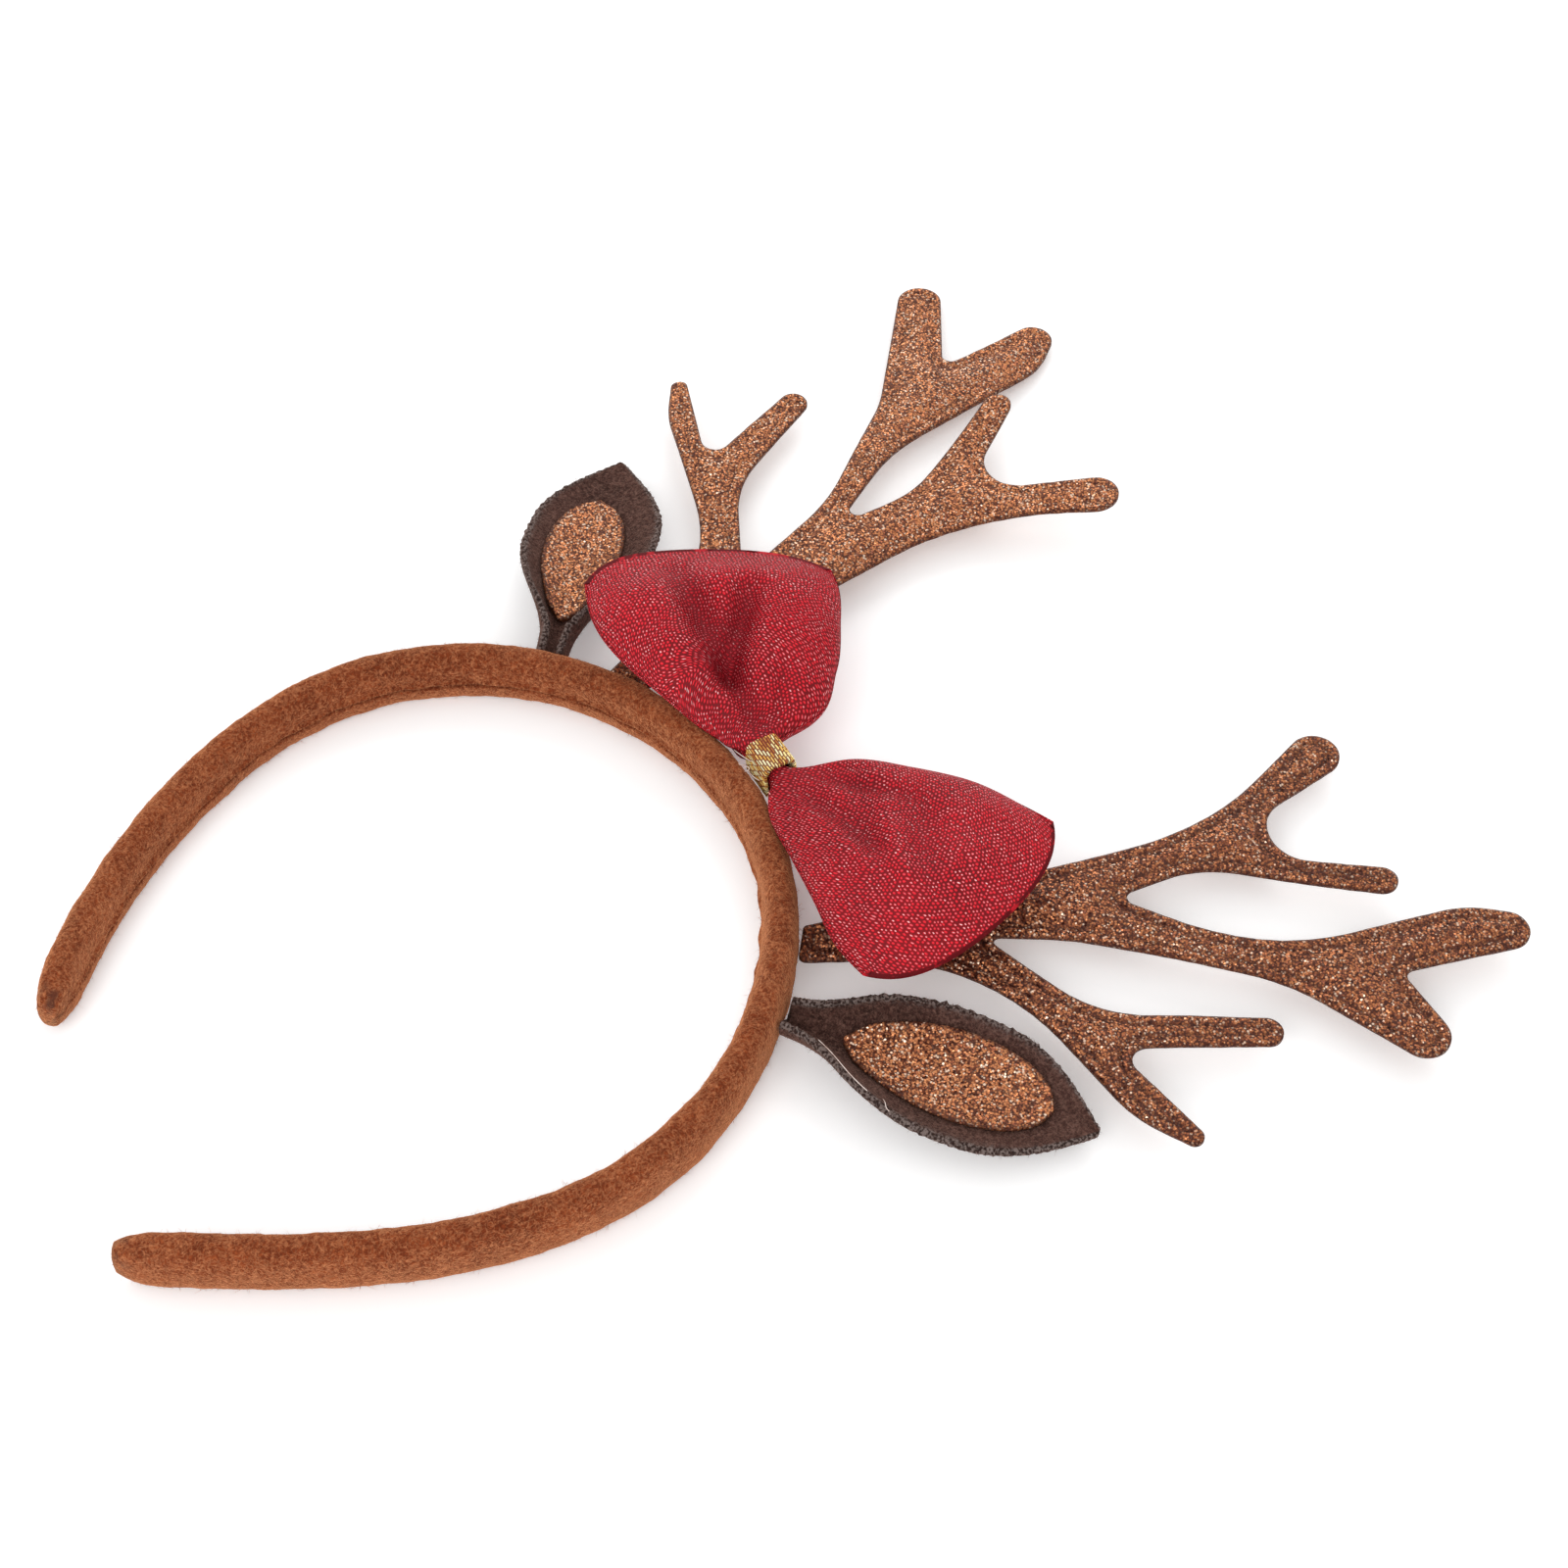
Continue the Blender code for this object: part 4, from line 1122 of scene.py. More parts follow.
def ribbon_rings():
    """Rings of the ribbon, one for each place round the loop, and the length run so far.

    The loop is y = cos to a power and z = sin to the same power, each times its half
    size. The threads lie side by side round the loop, and each is a low ridge from one
    edge of the ribbon to the other. The loop's whole length and the threads' distance,
    which goes into it a whole number of times, are given back too.
    """
    half_y = WAIST_DEPTH / 2 + GAP + RIBBON_THICKNESS / 2
    half_z = WAIST_THICKNESS / 2 + GAP + RIBBON_THICKNESS / 2
    centre_y = BAND_THICKNESS / 2 + GAP + RIBBON_THICKNESS / 2 + half_y
    turn = np.linspace(0.0, 2 * math.pi, LOOP_FINENESS)
    way = np.stack([half_y * signed_power(np.cos(turn), LOOP_SQUARENESS),
                    half_z * signed_power(np.sin(turn), LOOP_SQUARENESS)], 1)
    length = np.concatenate([[0.0], np.cumsum(np.hypot(*np.diff(way, axis=0).T))])
    run = np.linspace(0.0, length[-1], LOOP_ROWS, endpoint=False)[:, None]
    loop = np.interp(run, length, turn)
    pitch = length[-1] / round(length[-1] / THREAD_PITCH)
    section = np.linspace(0.0, 2 * math.pi, RIBBON_COLUMNS, endpoint=False)[None, :]
    thread = np.cos(2 * math.pi * run / pitch)
    frayed = 1 + FRAYING * wander(51, *FRAYING_WAVES, loop, waves=9)
    half_x = RIBBON_WIDTH / 2 * frayed + EDGE_LOOPS * thread
    x = signed_power(np.cos(section), SECTION_SQUARENESS) * half_x
    out = RIBBON_THICKNESS / 2 - THREAD_RELIEF / 2 + THREAD_RELIEF * thread
    out = signed_power(np.sin(section), SECTION_SQUARENESS) * out
    out = out + PUCKERS * wander(52, *PUCKER_WAVES, loop, x * PUCKERS_ACROSS)
    y = (half_y + out) * signed_power(np.cos(loop), LOOP_SQUARENESS)
    z = (half_z + out) * signed_power(np.sin(loop), LOOP_SQUARENESS)
    return np.stack([x, centre_y + y, WAIST_HEIGHT + z], -1), run, length[-1], pitch


print("about one thread to every", round(THREAD_PITCH * 1000, 2), "mm")

# %% [markdown]
# ## The ribbon's mesh
# The loop closes on itself, so its UV map needs one more line of places than it has points,
# or the last stroke would run backwards over the whole ribbon.

# %% Ribbon mesh
ribbon_grid, ribbon_run, ribbon_length, thread_pitch = ribbon_rings()
ribbon_triangles, ribbon_corners = grid_triangles(LOOP_ROWS, RIBBON_COLUMNS, True, True)
wrapped = np.concatenate([ribbon_grid[..., 0], ribbon_grid[:1, :, 0]])
wrapped = np.concatenate([wrapped, wrapped[:, :1]], axis=1)
ribbon_run = np.append(ribbon_run, ribbon_length)[:, None]
ribbon_weave = np.stack([wrapped, np.broadcast_to(ribbon_run, wrapped.shape)], -1)
print("the ribbon is", round(ribbon_length * 1000, 1), "mm round the waist")
ribbon = make_piece("gold_ribbon_loop", ribbon_grid.reshape(-1, 3), ribbon_triangles, "bow_band",
                    weave=(ribbon_weave, ribbon_corners))

# %% [markdown]
# ## Loose fibres
# Felt looks soft because single fibres stand off it. A hair system would draw them, but
# the finished model has to hold real meshes. Their roots come first, scattered over the
# surface by area, with the direction that the surface faces there.

# %% Places on a surface
def triangles_of(piece):
    """Points and triangles of a finished piece, as arrays."""
    mesh = piece.data
    points = np.empty(len(mesh.vertices) * 3, np.float32)
    mesh.vertices.foreach_get("co", points)
    corners = np.empty(len(mesh.loops), np.int32)
    mesh.loops.foreach_get("vertex_index", corners)
    return points.reshape(-1, 3).astype(float), corners.reshape(-1, 3)


def scatter(points, triangles, count, pick):
    """Random places on a surface, evenly by area, with the normals there."""
    a, b, c = (points[triangles[:, k]] for k in range(3))
    cross = np.cross(b - a, c - a)
    area = np.linalg.norm(cross, axis=1)
    running = np.cumsum(area)
    chosen = np.searchsorted(running, pick.uniform(0, running[-1], count))
    u, v = pick.uniform(size=(2, count, 1))
    over = u + v > 1
    u, v = np.where(over, 1 - u, u), np.where(over, 1 - v, v)
    place = a[chosen] + u * (b - a)[chosen] + v * (c - a)[chosen]
    return place, cross[chosen] / area[chosen][:, None]


def unit(vectors):
    """Vectors of length 1."""
    return vectors / np.linalg.norm(vectors, axis=-1, keepdims=True)


print("roots are scattered over", len(band_triangles), "triangles of the band")

# %% [markdown]
# ## Slivers
# Each fibre is a tiny tapered sliver of ten triangles that leans over and curls a little,
# and thousands of them are one array.

# %% Fibres
FIBRE_THICKNESS = 0.00006
SHORTEST_FIBRE = 0.4            # as a share of the longest
FIBRE_CURL = 0.5
FIBRE_RINGS = ((0.0, 1.0), (0.55, 0.75))    # share of the way up, and width there
FIBRE_POINTS = 7                # two rings of three and a tip
BAND_FUZZ = {"seed": 61, "count": 15000, "length": 0.0016, "lift": 0.55}
EAR_FUZZ = {"count": 3500, "length": 0.0011, "lift": 0.5}
EAR_FUZZ_SEED = 31              # added to the ear's own


def fibres(name, slot, surface, seed, count, length, lift):
    """Tapered slivers: a ring of three points at the root, one half way up, and a tip.

    A fibre starts along a random slant, the normal times lift plus a random direction,
    and bends towards a second random direction by the square of the way up.
    """
    pick = np.random.default_rng(seed)
    root, normal = scatter(*surface, count, pick)
    root = root - normal * FIBRE_THICKNESS
    long = length * pick.uniform(SHORTEST_FIBRE, 1.0, (count, 1))
    slant = unit(normal * lift + unit(pick.normal(size=(count, 3))))
    curl = unit(pick.normal(size=(count, 3))) * FIBRE_CURL
    side_a = unit(np.cross(slant, curl))
    side_b = np.cross(slant, side_a)
    places = []
    for t, wide in FIBRE_RINGS:
        centre = root + slant * long * t + curl * long * t * t
        for turn in np.radians([0.0, 120.0, 240.0]):
            way = side_a * math.cos(turn) + side_b * math.sin(turn)
            places.append(centre + way * FIBRE_THICKNESS / 2 * wide)
    places.append(root + slant * long + curl * long)
    points = np.stack(places, axis=1)
    points[..., 2] = np.maximum(points[..., 2], 0.0)
    one = [(0, 2, 1)]
    for k, j in ((0, 1), (1, 2), (2, 0)):
        one += [(k, j, 3 + j), (k, 3 + j, 3 + k), (3 + k, 3 + j, 6)]
    triangles = np.arange(count)[:, None, None] * FIBRE_POINTS + np.array(one)
    return make_piece(name, points.reshape(-1, 3), triangles.reshape(-1, 3), None)


band_fuzz = fibres("band_fibres", "brown_felt", (band_points, band_triangles), **BAND_FUZZ)
ear_fuzz = {}
for name, style in EARS.items():
    seed = style["seed"] + EAR_FUZZ_SEED
    surface = triangles_of(ears[name])
    ear_fuzz[name] = fibres("ear_fibres_" + name, "dark_felt", surface, seed, **EAR_FUZZ)

# %% [markdown]
# ## Stray threads
# A few ends of pale thread lie about: by the ribbon, where it was sewn on, and on the cut
# edge of the near ear. Each is a thin tube along a short curve. All of them have the same
# number of points, so they too are one array.

# %% Stray threads
THREAD_THICKNESS = 0.00016
THREAD_LIFT = 0.0003            # height of an end above the band, and of the middle above that
THREAD_STEPS = 24
EAR_SWAY = 0.02                 # sideways, as a share of the ear's half width
EAR_SWAY_TURN = 7.0             # radians of the sway along one thread
LOOSE_ON_BAND = [
    # x        y        heading  length  turns, in degrees
    (-0.0065,  0.0024,    4.0,   0.0052,   30.0),
    (-0.0030,  0.0020,  -70.0,   0.0034,  260.0),
    (-0.0008,  0.0016,  150.0,   0.0030, -300.0),
    (-0.0002,  0.0024,  -20.0,   0.0036,   60.0),
    (0.0185,  0.0008,  -60.0,   0.0030,  200.0),
    (0.0205, -0.0004,  170.0,   0.0026, -170.0),
]
LOOSE_ON_EAR = [
    # from the base, to, share of the half width at each
    (0.0085,  0.0210,  -0.95,  -0.99),
    (0.0100,  0.0170,  -0.90,  -1.00),
    (0.0240,  0.0262,  -0.86,  -1.04),
]


def threads_on_band(table):
    """Curves on the band: the heading turns evenly, and x and y add up its cosine and sine."""
    x, y, heading, length, turns = (column[:, None] for column in np.array(table).T)
    t = np.linspace(0.0, 1.0, THREAD_STEPS)[None, :]
    angle = np.radians(heading + turns * t)
    step = length / THREAD_STEPS
    x = x + np.cumsum(np.cos(angle), axis=1) * step
    y = y + np.cumsum(np.sin(angle), axis=1) * step
    height = BAND_WIDTH + THREAD_THICKNESS + THREAD_LIFT * (1 + np.sin(math.pi * t))
    return np.stack([x, y, height + 0 * x], -1)


def threads_on_ear(table, style):
    """Curves along the ear's front, near its edge."""
    start, end, from_side, to_side = (column[:, None] for column in np.array(table).T)
    t = np.linspace(0.0, 1.0, THREAD_STEPS)[None, :]
    along = start + (end - start) * t
    half = through(*np.array(EAR_ROWS).T[:2], along / EAR_LENGTH) * EAR_WIDTH / 2
    side = from_side + (to_side - from_side) * t + EAR_SWAY * np.sin(EAR_SWAY_TURN * t)
    return ear_surface(style, along, side * half, EAR_THICKNESS / 2 + THREAD_THICKNESS)


print(len(LOOSE_ON_BAND) + len(LOOSE_ON_EAR), "stray threads")

# %% [markdown]
# ## Thin tubes
# A thread's ring stands square to its way, which the crossing with one fixed direction gives.

# %% Tubes of the threads
THREAD_SIDES = 6
NOT_ALONG = (0.0, 0.1, 1.0)     # a direction that no thread runs in


def thin_tubes(name, paths):
    """Tubes along the paths: a ring of points square to the way at each step, and two poles."""
    count = len(paths)
    way = unit(np.gradient(paths, axis=1))
    side_a = unit(np.cross(way, NOT_ALONG))
    side_b = np.cross(way, side_a)
    turn = np.linspace(0.0, 2 * math.pi, THREAD_SIDES, endpoint=False)[None, None, :, None]
    rings = side_a[:, :, None] * np.cos(turn) + side_b[:, :, None] * np.sin(turn)
    rings = paths[:, :, None] + rings * THREAD_THICKNESS / 2
    ends = paths[:, [0, -1]]
    points = np.concatenate([rings.reshape(count, -1, 3), ends], axis=1)
    _, triangles, _ = close_tube(rings[0])
    triangles = triangles[None] + np.arange(count)[:, None, None] * points.shape[1]
    return make_piece(name, points.reshape(-1, 3), triangles.reshape(-1, 3), None)


paths = np.concatenate([threads_on_band(LOOSE_ON_BAND), threads_on_ear(LOOSE_ON_EAR, EARS["left"])])
stray_threads = thin_tubes("stray_threads", paths)

# %% [markdown]
# ## Writing materials as sums
# A material is a tree of nodes, and shader maths soon turns into dozens of them. The
# small class below wraps one socket. Python's operators on it add the Math node that does
# the sum, so `1 - mask` and `mask * 2` read as they would on paper. The board that it
# belongs to comes next, and its one method `add` makes any node: settings first, because
# they change which sockets there are, then the values or links.

# %% Wire
class Wire:
    """One number, colour or vector on its way through a material."""

    def __init__(self, board, socket):
        self.board = board
        self.socket = socket

    def sum(self, operation, first, second=0.0):
        """One Math node."""
        return self.board.add("ShaderNodeMath", {"operation": operation}, {0: first, 1: second})

    def __add__(self, other):
        return self.sum("ADD", self, other)

    def __radd__(self, other):
        return self.sum("ADD", other, self)

    def __sub__(self, other):
        return self.sum("SUBTRACT", self, other)

    def __rsub__(self, other):
        return self.sum("SUBTRACT", other, self)

    def __mul__(self, other):
        return self.sum("MULTIPLY", self, other)

    def __truediv__(self, other):
        return self.sum("DIVIDE", self, other)

    def floor(self):
        """The whole number below."""
        return self.sum("FLOOR", self)

    def fraction(self):
        """What is over the whole number below."""
        return self.sum("FRACT", self)

    def size(self):
        """The number without its sign."""
        return self.sum("ABSOLUTE", self)

    def step(self, low, high):
        """Eased ramp from 0 at low to 1 at high."""
        settings = {"interpolation_type": "SMOOTHSTEP"}
        return self.board.add("ShaderNodeMapRange", settings, {0: self, 1: low, 2: high})


print("shader sums ready")

# %% [markdown]
# ## A board of nodes
# Every material is laid out on a board of its own. The methods after `add` only name what
# the materials below ask for again and again, such as a noise or a colour ramp.

# %% Board
class Board:
    """The nodes of one material round its Principled shader."""

    def __init__(self, name):
        self.material = bpy.data.materials.new(name)
        self.material.use_nodes = True
        self.tree = self.material.node_tree
        self.shader = self.tree.nodes["Principled BSDF"]

    def plug(self, socket, value):
        """Link a wire to a socket, or write a plain value into it."""
        if isinstance(value, Wire):
            self.tree.links.new(value.socket, socket)
        else:
            socket.default_value = value

    def set_stops(self, ramp, stops):
        """Give a colour ramp its stops, pairs of a place and a colour."""
        while len(ramp.elements) < len(stops):
            ramp.elements.new(1.0)
        for element, (place, colour) in zip(ramp.elements, stops):
            element.position = place
            element.color = (*colour, 1.0)

    def add(self, kind, settings=None, inputs=None, output=0):
        """Add a node, set it up, fill its sockets, and give back one of its outputs."""
        node = self.tree.nodes.new(kind)
        for key, value in (settings or {}).items():
            if key == "stops":
                self.set_stops(node.color_ramp, value)
            else:
                setattr(node, key, value)
        for key, value in (inputs or {}).items():
            self.plug(node.inputs[key], value)
        return Wire(self, node.outputs[output])

    def finish(self, **sockets):
        """Fill the shader's own sockets: underscores stand for the spaces in their names."""
        for key, value in sockets.items():
            self.plug(self.shader.inputs[key.replace("_", " ")], value)
        return self.material

    def place(self):
        """The place on the object, in metres."""
        return self.add("ShaderNodeTexCoord", output="Object")

    def mark(self, name):
        """A mark that the mesh holds for each point."""
        return self.add("ShaderNodeAttribute", {"attribute_name": name}, output="Fac")

    def split(self, vector):
        """The three numbers of a vector."""
        return [self.add("ShaderNodeSeparateXYZ", None, {0: vector}, output=axis) for axis in "XYZ"]

    def weave(self):
        """The place on the cloth: the two numbers of the UV map, in metres."""
        return self.split(self.add("ShaderNodeUVMap", {"uv_map": "weave"}))[:2]

    def chances(self, first, second):
        """A random number and a random colour for each pair of whole numbers."""
        cell = self.add("ShaderNodeCombineXYZ", None, {0: first, 1: second, 2: 0.0})
        settings = {"noise_dimensions": "2D"}
        return [self.add("ShaderNodeTexWhiteNoise", settings, {"Vector": cell}, output=kind)
                for kind in ("Value", "Color")]

    def vector(self, operation, first, second=(0.0, 0.0, 0.0)):
        """One Vector Math node."""
        return self.add("ShaderNodeVectorMath", {"operation": operation}, {0: first, 1: second})

    def noise(self, where, scale, detail=2.0, roughness=0.5, distortion=0.0):
        """A noise from 0 to 1 with scale patches to the metre."""
        inputs = {"Vector": where, "Scale": scale, "Detail": detail, "Roughness": roughness,
                  "Distortion": distortion}
        return self.add("ShaderNodeTexNoise", None, inputs)

    def blend(self, factor, first, second):
        """The first colour where the factor is 0 and the second where it is 1."""
        return self.add("ShaderNodeMix", {"data_type": "RGBA"}, {0: factor, 6: first, 7: second}, output=2)

    def ramp(self, factor, stops):
        """A colour read off a ramp."""
        return self.add("ShaderNodeValToRGB", {"stops": stops}, {0: factor})

    def bump(self, height, distance, strength):
        """A normal tilted as if the surface rose by the height times the distance."""
        inputs = {"Height": height, "Distance": distance, "Strength": strength}
        return self.add("ShaderNodeBump", None, inputs)


print("material kit ready")

# %% [markdown]
# ## Felt
# Felt has no weave. It shows patches, a fine grain, and single fibres that run every way.
# A noise makes the patches and the grain. The fibres are a trick with the same noise: the
# thin lines where a stretched and twisted noise crosses its middle value curl about like
# hairs. Sheen brightens the parts seen at a slant, as a fuzzy surface does.

# %% Felt material
PATCHES = 90.0                  # to the metre, as for all the scales below
GRAIN = 1300.0
# Scale, sharpness and stretch of the fibres that lie one way, the other way, and of the
# dark gaps between them.
LONG_WAY = (420.0, 13.0, (1.0, 1.6, 1.3))
CROSS_WAY = (640.0, 11.0, (1.7, 0.9, 1.2))
DARK_GAPS = (760.0, 8.0, (1.2, 1.3, 0.8))
FELT_RELIEF = 0.00030


def fibre_lines(board, where, scale, sharpness, stretch):
    """1 on thin curling lines and 0 off them: 1 less the distance of a noise from its middle."""
    drawn = board.vector("MULTIPLY", where, stretch)
    noise = board.noise(drawn, scale, detail=1.0, distortion=1.2)
    return (1 - (noise - 0.5).size() * sharpness).step(0.0, 1.0)


def felt(name, deep, middle, pale, loose):
    """A felt of three tones with fibres of a fourth: its board, colour and bumpy normal."""
    board = Board(name)
    where = board.place()
    patches = board.noise(where, PATCHES, detail=3.0, roughness=0.6)
    grain = board.noise(where, GRAIN, detail=4.0, roughness=0.75)
    long_way, cross_way, gaps = (
        fibre_lines(board, where, *lines) for lines in (LONG_WAY, CROSS_WAY, DARK_GAPS))
    tone = patches.step(0.3, 0.7) * 0.35 + grain.step(0.25, 0.75) * 0.65
    colour = board.ramp(tone, [(0.05, deep), (0.5, middle), (0.95, pale)])
    colour = board.blend(gaps * 0.5, colour, (*deep, 1.0))
    lines = (long_way + cross_way) * grain.step(0.3, 0.6)
    colour = board.blend(lines * 0.34, colour, (*loose, 1.0))
    height = grain * 0.6 + lines * 0.35 - gaps * 0.3
    return board, colour, board.bump(height, FELT_RELIEF, 0.7)


def finish_felt(board, colour, normal, sheen, tint):
    """Close a felt with the sheen that its fuzz gives."""
    return board.finish(Base_Color=colour, Roughness=0.95, Normal=normal, Sheen_Weight=sheen,
                        Sheen_Roughness=0.38, Sheen_Tint=(*tint, 1.0), Specular_IOR_Level=0.1)


print("felt ready")

# %% [markdown]
# ## Two felts
# The band is rust brown, darkened in the seam's crease by painted shade, and greyed at its
# rounded ends. The ears are nearly black, and the pale core of their felt shows as specks
# along the cut edge.

# %% Colours of the felts
BROWN = {
    "deep": (0.092, 0.016, 0.005),
    "middle": (0.200, 0.038, 0.011),
    "pale": (0.330, 0.082, 0.026),
    "loose": (0.600, 0.230, 0.100),
}
CHOCOLATE = {
    "deep": (0.020, 0.008, 0.006),
    "middle": (0.060, 0.025, 0.019),
    "pale": (0.112, 0.053, 0.041),
    "loose": (0.200, 0.105, 0.080),
}
WORN_SPOTS = 420.0
CUT_SPECKLE = 1900.0
END_GREY = (0.055, 0.030, 0.024, 1.0)
# Painted shade in the seam's crease.
CREASE_SHADE_BROWN = (0.050, 0.010, 0.005, 1.0)
CUT_DARK = (0.016, 0.010, 0.009, 1.0)
CUT_PALE = (0.210, 0.165, 0.150, 1.0)

board, colour, normal = felt("brown_felt", **BROWN)
worn = board.noise(board.place(), WORN_SPOTS).step(0.40, 0.65)
colour = board.blend(board.mark("end") * worn * 0.65, colour, END_GREY)
# Painted shade: the felt darkens in the seam's crease.
colour = board.blend(board.mark("crease") * 0.85, colour, CREASE_SHADE_BROWN)
brown_felt = finish_felt(board, colour, normal, 1.0, (1.0, 0.43, 0.20))

board, colour, normal = felt("dark_felt", **CHOCOLATE)
speckle = board.noise(board.place(), CUT_SPECKLE).step(0.42, 0.62)
cut_edge = board.blend(speckle, CUT_DARK, CUT_PALE)
colour = board.blend(board.mark("cut") * 0.8, colour, cut_edge)
dark_felt = finish_felt(board, colour, normal, 0.25, (1.0, 0.62, 0.5))

band.data.materials.append(brown_felt)
for ear in ears.values():
    ear.data.materials.append(dark_felt)
print("felt on the band and the ears")

# %% [markdown]
# ## Fibres and threads
# A sliver is too thin for any pattern, so patches of fibres are lighter or darker instead.

# %% Fibre material
FIBRE_PATCHES = 900.0
THREAD_DARK = (0.62, 0.44, 0.38)
THREAD_LIGHT = (0.86, 0.74, 0.68)


def plain_fibre(name, dark, light):
    """Fibres of one cloth, each patch of them a little lighter or darker."""
    board = Board(name)
    tone = board.noise(board.place(), FIBRE_PATCHES, detail=1.0).step(0.3, 0.7)
    colour = board.blend(tone, (*dark, 1.0), (*light, 1.0))
    return board.finish(Base_Color=colour, Roughness=0.7, Specular_IOR_Level=0.2)


band_fuzz.data.materials.append(plain_fibre("brown_fibre", BROWN["middle"], BROWN["loose"]))
ear_fibre = plain_fibre("dark_fibre", CHOCOLATE["pale"], CHOCOLATE["loose"])
for fuzz in ear_fuzz.values():
    fuzz.data.materials.append(ear_fibre)
stray_threads.data.materials.append(plain_fibre("pale_thread", THREAD_DARK, THREAD_LIGHT))
print("fibres coloured")

# %% [markdown]
# ## Glitter fabric
# Glitter is a crowd of tiny flat mirrors glued to a dark cloth, each lying its own way.
# A Voronoi texture gives the crowd: every cell has its own random colour. That number
# picks the flake's tone from a ramp, and its three channels tilt the normal, so that some
# flakes catch the light and others don't. Between the flakes the dark cloth shows.

# %% Glitter material
FLAKE = 0.00042                 # width of a flake in metres
FLAKE_TILT = 0.9
CLOTH = (0.050, 0.012, 0.007, 1.0)
CLUMPS = 260.0                  # darker patches to the metre


def glitter(name, stops, darkness):
    """Flakes on a dark cloth.

    A flake's tone is read off the ramp at its own random number. Its normal is the
    surface's plus the random colour less a half, times the tilt.
    """
    board = Board(name)
    where = board.place()
    cell = {"Vector": where, "Scale": 1 / FLAKE, "Randomness": 1.0}
    chance, centre = (board.add("ShaderNodeTexVoronoi", {"feature": "F1"}, cell, output=kind)
                      for kind in ("Color", "Distance"))
    colour = board.ramp(board.add("ShaderNodeSeparateColor", None, {0: chance}), stops)
    between = centre.step(0.42, 0.72)
    colour = board.blend(between * 0.85, colour, CLOTH)
    # Random darker patches; the shaded copy gets more of them as painted shade.
    clumps = board.noise(where, CLUMPS).step(0.3, 0.7)
    # The pressed line darkens towards the cloth: partly its own colour, partly painted shade of its
    # groove.
    colour = board.blend(board.mark("pressed") * 0.6 + clumps * darkness, colour, CLOTH)
    colour = board.blend(board.mark("cut") * 0.7, colour, CLOTH)
    lean = board.vector("SUBTRACT", chance, (0.5, 0.5, 0.5))
    lean = board.vector("MULTIPLY", lean, (FLAKE_TILT, FLAKE_TILT, FLAKE_TILT))
    flat = board.add("ShaderNodeNewGeometry", output="Normal")
    normal = board.vector("NORMALIZE", board.vector("ADD", flat, lean))
    return board.finish(Base_Color=colour, Metallic=0.75 - between * 0.6, Normal=normal,
                        Roughness=0.32 + between * 0.4, Specular_IOR_Level=0.3)


print("glitter ready")

# %% [markdown]
# ## A lit and a shaded glitter
# The far antler and both inserts face the light and look copper. The near antler is the
# same fabric in less light: its darker ramp and its stronger dark patches are painted shade.

# %% Colours of the glitters
# Lit and shaded copies of one glitter: the shaded copy's darker ramp and stronger patches are painted
# shade.
LIT_CLUMPS = 0.12
SHADED_CLUMPS = 0.20
LIT_STOPS = [
    (0.0, (0.10, 0.024, 0.012)),
    (0.25, (0.28, 0.085, 0.038)),
    (0.50, (0.56, 0.195, 0.076)),
    (0.85, (0.80, 0.330, 0.140)),
    (0.97, (1.0, 0.74, 0.56)),
]
SHADED_STOPS = [
    (0.0, (0.06, 0.015, 0.009)),
    (0.30, (0.20, 0.060, 0.028)),
    (0.58, (0.45, 0.148, 0.060)),
    (0.87, (0.72, 0.285, 0.118)),
    (0.98, (1.0, 0.74, 0.56)),
]

lit_glitter = glitter("lit_glitter", LIT_STOPS, LIT_CLUMPS)
shaded_glitter = glitter("shaded_glitter", SHADED_STOPS, SHADED_CLUMPS)
# The near antler wears the shaded copy: painted shade.
antlers["right"].data.materials.append(lit_glitter)
antlers["left"].data.materials.append(shaded_glitter)
for insert in inserts.values():
    insert.data.materials.append(lit_glitter)
print("glitter on the antlers and inserts")

# %% [markdown]
# ## Red knit with a shiny thread
# The knit is rows of small loops, each crossed by a shiny thread that shows as a short
# pale dash. The dash's colour is partly the thread's own pale colour and partly its glint,
# painted in as a highlight. The UV map is in metres on the cloth, so dividing it by the
# stitch size gives whole numbers for the stitch and fractions for the place in it. Every
# other row is shifted by half a stitch, and a random number for each stitch decides how
# bright it is.

# %% Knit material
STITCH_ALONG = 0.00084
STITCH_UP = 0.00076
WARP = 240.0                    # bends of the rows to the metre
WARP_ROWS = 1.8                 # how far they bend, in stitches
WARP_COLUMNS = 1.3
STRAY = 0.36                    # how far a dash may lie off its stitch's middle
KNIT_FOLDS = 90.0
KNIT_RELIEF = 0.00028
LOOP_STOPS = [
    (0.05, (0.130, 0.0008, 0.004)),
    (0.45, (0.52, 0.006, 0.016)),
    (0.95, (0.82, 0.020, 0.036)),
]
# The shiny thread's colour: partly its own pale colour, partly its glint painted in as a highlight.
SHINY_HIGHLIGHT_STOPS = [
    (0.2, (0.70, 0.040, 0.075)),
    (0.6, (0.90, 0.190, 0.230)),
    (0.85, (1.0, 0.440, 0.470)),
    (0.97, (1.0, 0.80, 0.80)),
]
# Painted shade in the bow's folds.
FOLD_SHADE_RED = (0.150, 0.0010, 0.006, 1.0)


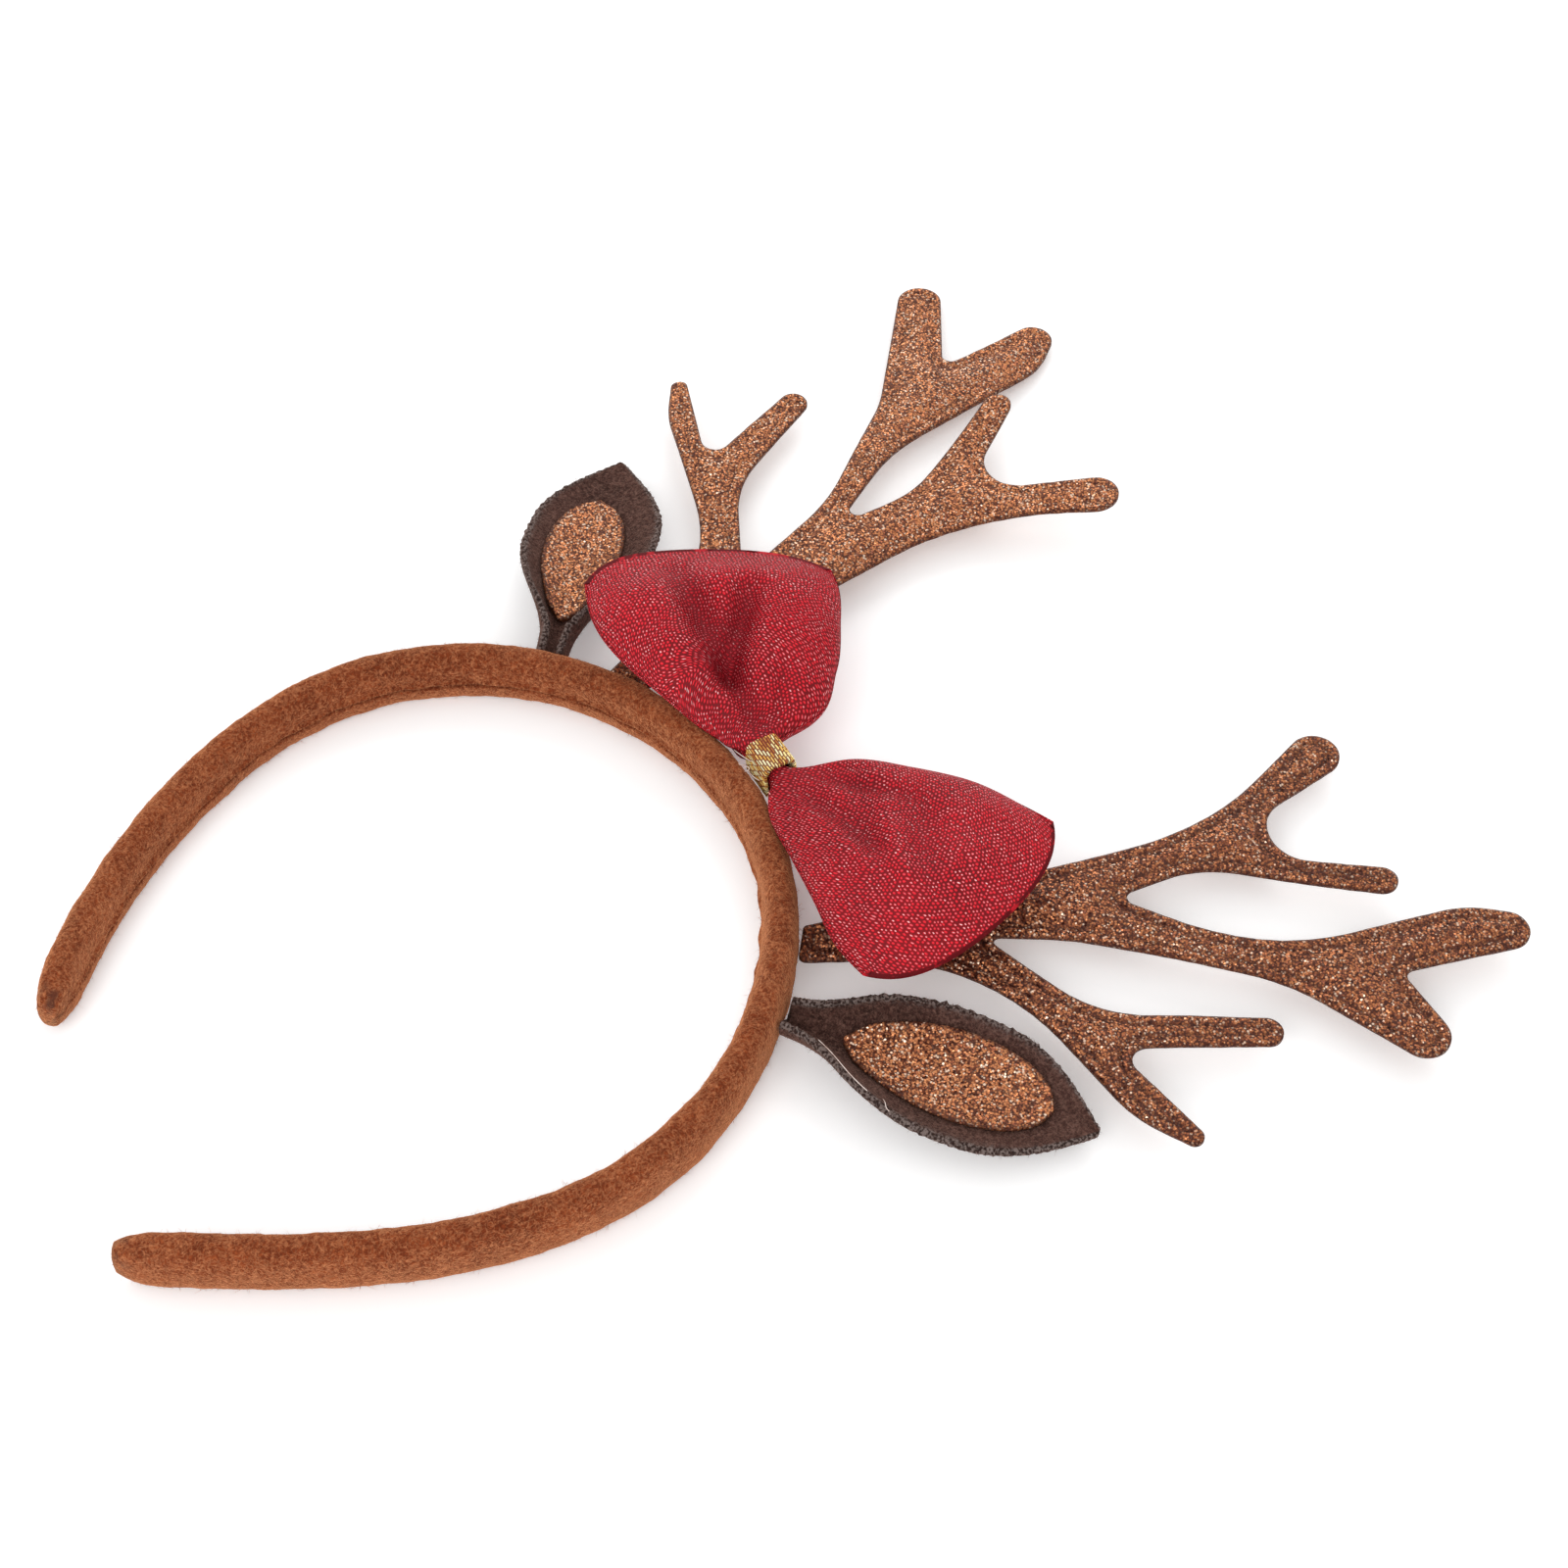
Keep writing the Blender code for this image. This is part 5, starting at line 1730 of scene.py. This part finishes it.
def knit(name):
    """Red loops, most of them crossed by a shiny dash that lies off the middle by chance.

    A dash is an ellipse, 1 less nine times its length squared and thirty times its
    width squared, and slanted by chance. A loop is a round spot in the same place.
    """
    board = Board(name)
    where = board.place()
    along, up = board.weave()
    warp = board.noise(where, WARP) - 0.5
    rows = up / STITCH_UP + warp * WARP_ROWS
    shift = (rows.floor() * 0.5).fraction()
    columns = along / STITCH_ALONG + shift + warp * WARP_COLUMNS
    random, tint = board.chances(rows.floor(), columns.floor())
    off_x, off_y, turned = board.split(tint)
    x = columns.fraction() - 0.5 - (off_x - 0.5) * STRAY
    y = rows.fraction() - 0.5 - (off_y - 0.5) * STRAY
    slant = 0.25 + turned * 0.6
    length = x + y * slant
    width = y - x * slant
    dash = 1 - (length * length * 9.0 + width * width * 30.0).step(0.30, 1.05)
    loop = 1 - (x * x * 4.5 + y * y * 4.5).step(0.15, 1.0)
    folds = board.noise(where, KNIT_FOLDS)
    colour = board.ramp(loop * 0.8 + folds * 0.2, LOOP_STOPS)
    shiny = dash * random.step(0.20, 0.55) * (1 - board.mark("edge"))
    # Pale dashes: partly the thread's own colour, partly a painted highlight of its glint.
    colour = board.blend(shiny * 0.9, colour, board.ramp(random, SHINY_HIGHLIGHT_STOPS))
    # Painted shade: the knit is darker the deeper its fold.
    colour = board.blend(board.mark("fold") * 0.62, colour, FOLD_SHADE_RED)
    normal = board.bump(loop + shiny * 0.5, KNIT_RELIEF, 0.85)
    return board.finish(Base_Color=colour, Roughness=0.60 - shiny * 0.2, Normal=normal,
                        Specular_IOR_Level=0.22)


bow.data.materials.append(knit("red_knit"))
print("knit on the bow")

# %% [markdown]
# ## Gold ribbon
# The ribbon's threads lie side by side round the loop. Each shows as a few short bright
# strokes from edge to edge, with the red-brown ground between them. A picture of a weave
# would need an image file, so the strokes are worked out from the UV map as the knit is.

# %% Ribbon material
STROKE = 0.0016                 # length of a gold stroke along its thread
STROKE_SHIFT = 0.37             # from each thread to the next, in strokes
WOBBLE = 520.0
WOBBLE_ROUND = 0.3              # in threads
WOBBLE_ALONG = 0.6              # in strokes
RIBBON_RELIEF = 0.0002
GOLD_STOPS = [
    (0.0, (0.45, 0.13, 0.022)),
    (0.25, (0.86, 0.46, 0.085)),
    (0.55, (1.0, 0.76, 0.240)),
    (0.9, (1.0, 0.96, 0.58)),
]
GROUND = (0.200, 0.022, 0.010, 1.0)


def gold(name):
    """Gold threads side by side, each broken into short strokes, over a red-brown ground."""
    board = Board(name)
    across, round_loop = board.weave()
    wobble = board.noise(board.place(), WOBBLE) - 0.5
    round_loop = round_loop / thread_pitch + 0.5 + wobble * WOBBLE_ROUND
    thread = round_loop.floor()
    side = (round_loop.fraction() - 0.5).size()
    along = across / STROKE + thread * STROKE_SHIFT + wobble * WOBBLE_ALONG
    end = (along.fraction() - 0.5).size()
    gap = 1 - (1 - side.step(0.17, 0.36)) * (1 - end.step(0.34, 0.47))
    random, _ = board.chances(thread, along.floor())
    colour = board.blend(gap * 0.92, board.ramp(random, GOLD_STOPS), GROUND)
    normal = board.bump(1 - gap, RIBBON_RELIEF, 0.8)
    return board.finish(Base_Color=colour, Metallic=0.25 - gap * 0.2, Normal=normal,
                        Roughness=0.34 + gap * 0.4)


ribbon.data.materials.append(gold("gold_ribbon"))
print("gold on the ribbon")

# %% [markdown]
# ## Floor
# A product shot on white has light from everywhere. The floor is a large white sheet that
# also glows a little, which a lamp alone would need many bounces for.

# %% Floor
FLOOR_SIZE = 6.0
FLOOR_GLOW = 0.22               # lifts the shadows, as a lit white table does
FLOOR_MOTTLE = 3.0
FLOOR_DARK = (0.90, 0.90, 0.90, 1.0)
FLOOR_LIGHT = (0.92, 0.92, 0.92, 1.0)
WHITE = (1.0, 1.0, 1.0, 1.0)

corners = np.array([(-1, -1), (-1, 1), (1, 1), (1, -1)]) * FLOOR_SIZE / 2
floor_mesh = bpy.data.meshes.new("floor")
floor_mesh.from_pydata([(x, y, 0.0) for x, y in corners.tolist()], [], [(3, 2, 1, 0)])
floor = bpy.data.objects.new("floor", floor_mesh)
bpy.context.scene.collection.objects.link(floor)
board = Board("white_floor")
mottle = board.noise(board.place(), FLOOR_MOTTLE)
colour = board.blend(mottle, FLOOR_DARK, FLOOR_LIGHT)
floor_mesh.materials.append(board.finish(Base_Color=colour, Emission_Color=WHITE,
                                         Emission_Strength=FLOOR_GLOW, Roughness=0.9))
print("floor placed")

# %% [markdown]
# ## World and lamps
# The world is nearly white and gives most of the light. One large soft lamp near the camera
# shapes the forms, and a second one behind lights up the flakes that face it.

# %% World and lamps
WORLD_STRENGTH = 0.85
LAMPS = {
    "key": {"place": (0.55, -0.75, 0.75), "target": (0.0, 0.0, 0.0), "size": 0.7, "power": 5.0},
    "back": {"place": (-0.65, 0.60, 0.75), "target": (-0.03, 0.05, 0.0), "size": 0.6, "power": 3.0},
}

world = bpy.data.worlds.new("studio")
bpy.context.scene.world = world
world.use_nodes = True
sky = world.node_tree.nodes["Background"]
sky.inputs["Color"].default_value = WHITE
sky.inputs["Strength"].default_value = WORLD_STRENGTH


def soft_lamp(name, place, target, size, power):
    """A square lamp that faces its target: its -Z axis is turned along the way there."""
    lamp = bpy.data.lights.new(name, "AREA")
    lamp.shape = "SQUARE"
    lamp.size = size
    lamp.energy = power
    holder = bpy.data.objects.new(name, lamp)
    way = np.array(target) - np.array(place)
    flat = math.hypot(way[0], way[1])
    holder.location = place
    holder.rotation_euler = (math.atan2(flat, -way[2]), 0.0, math.atan2(way[1], way[0]) - math.pi / 2)
    bpy.context.scene.collection.objects.link(holder)


for name, lamp in LAMPS.items():
    soft_lamp(name, **lamp)
bpy.context.scene.view_settings.view_transform = "Standard"
print("lamps placed")
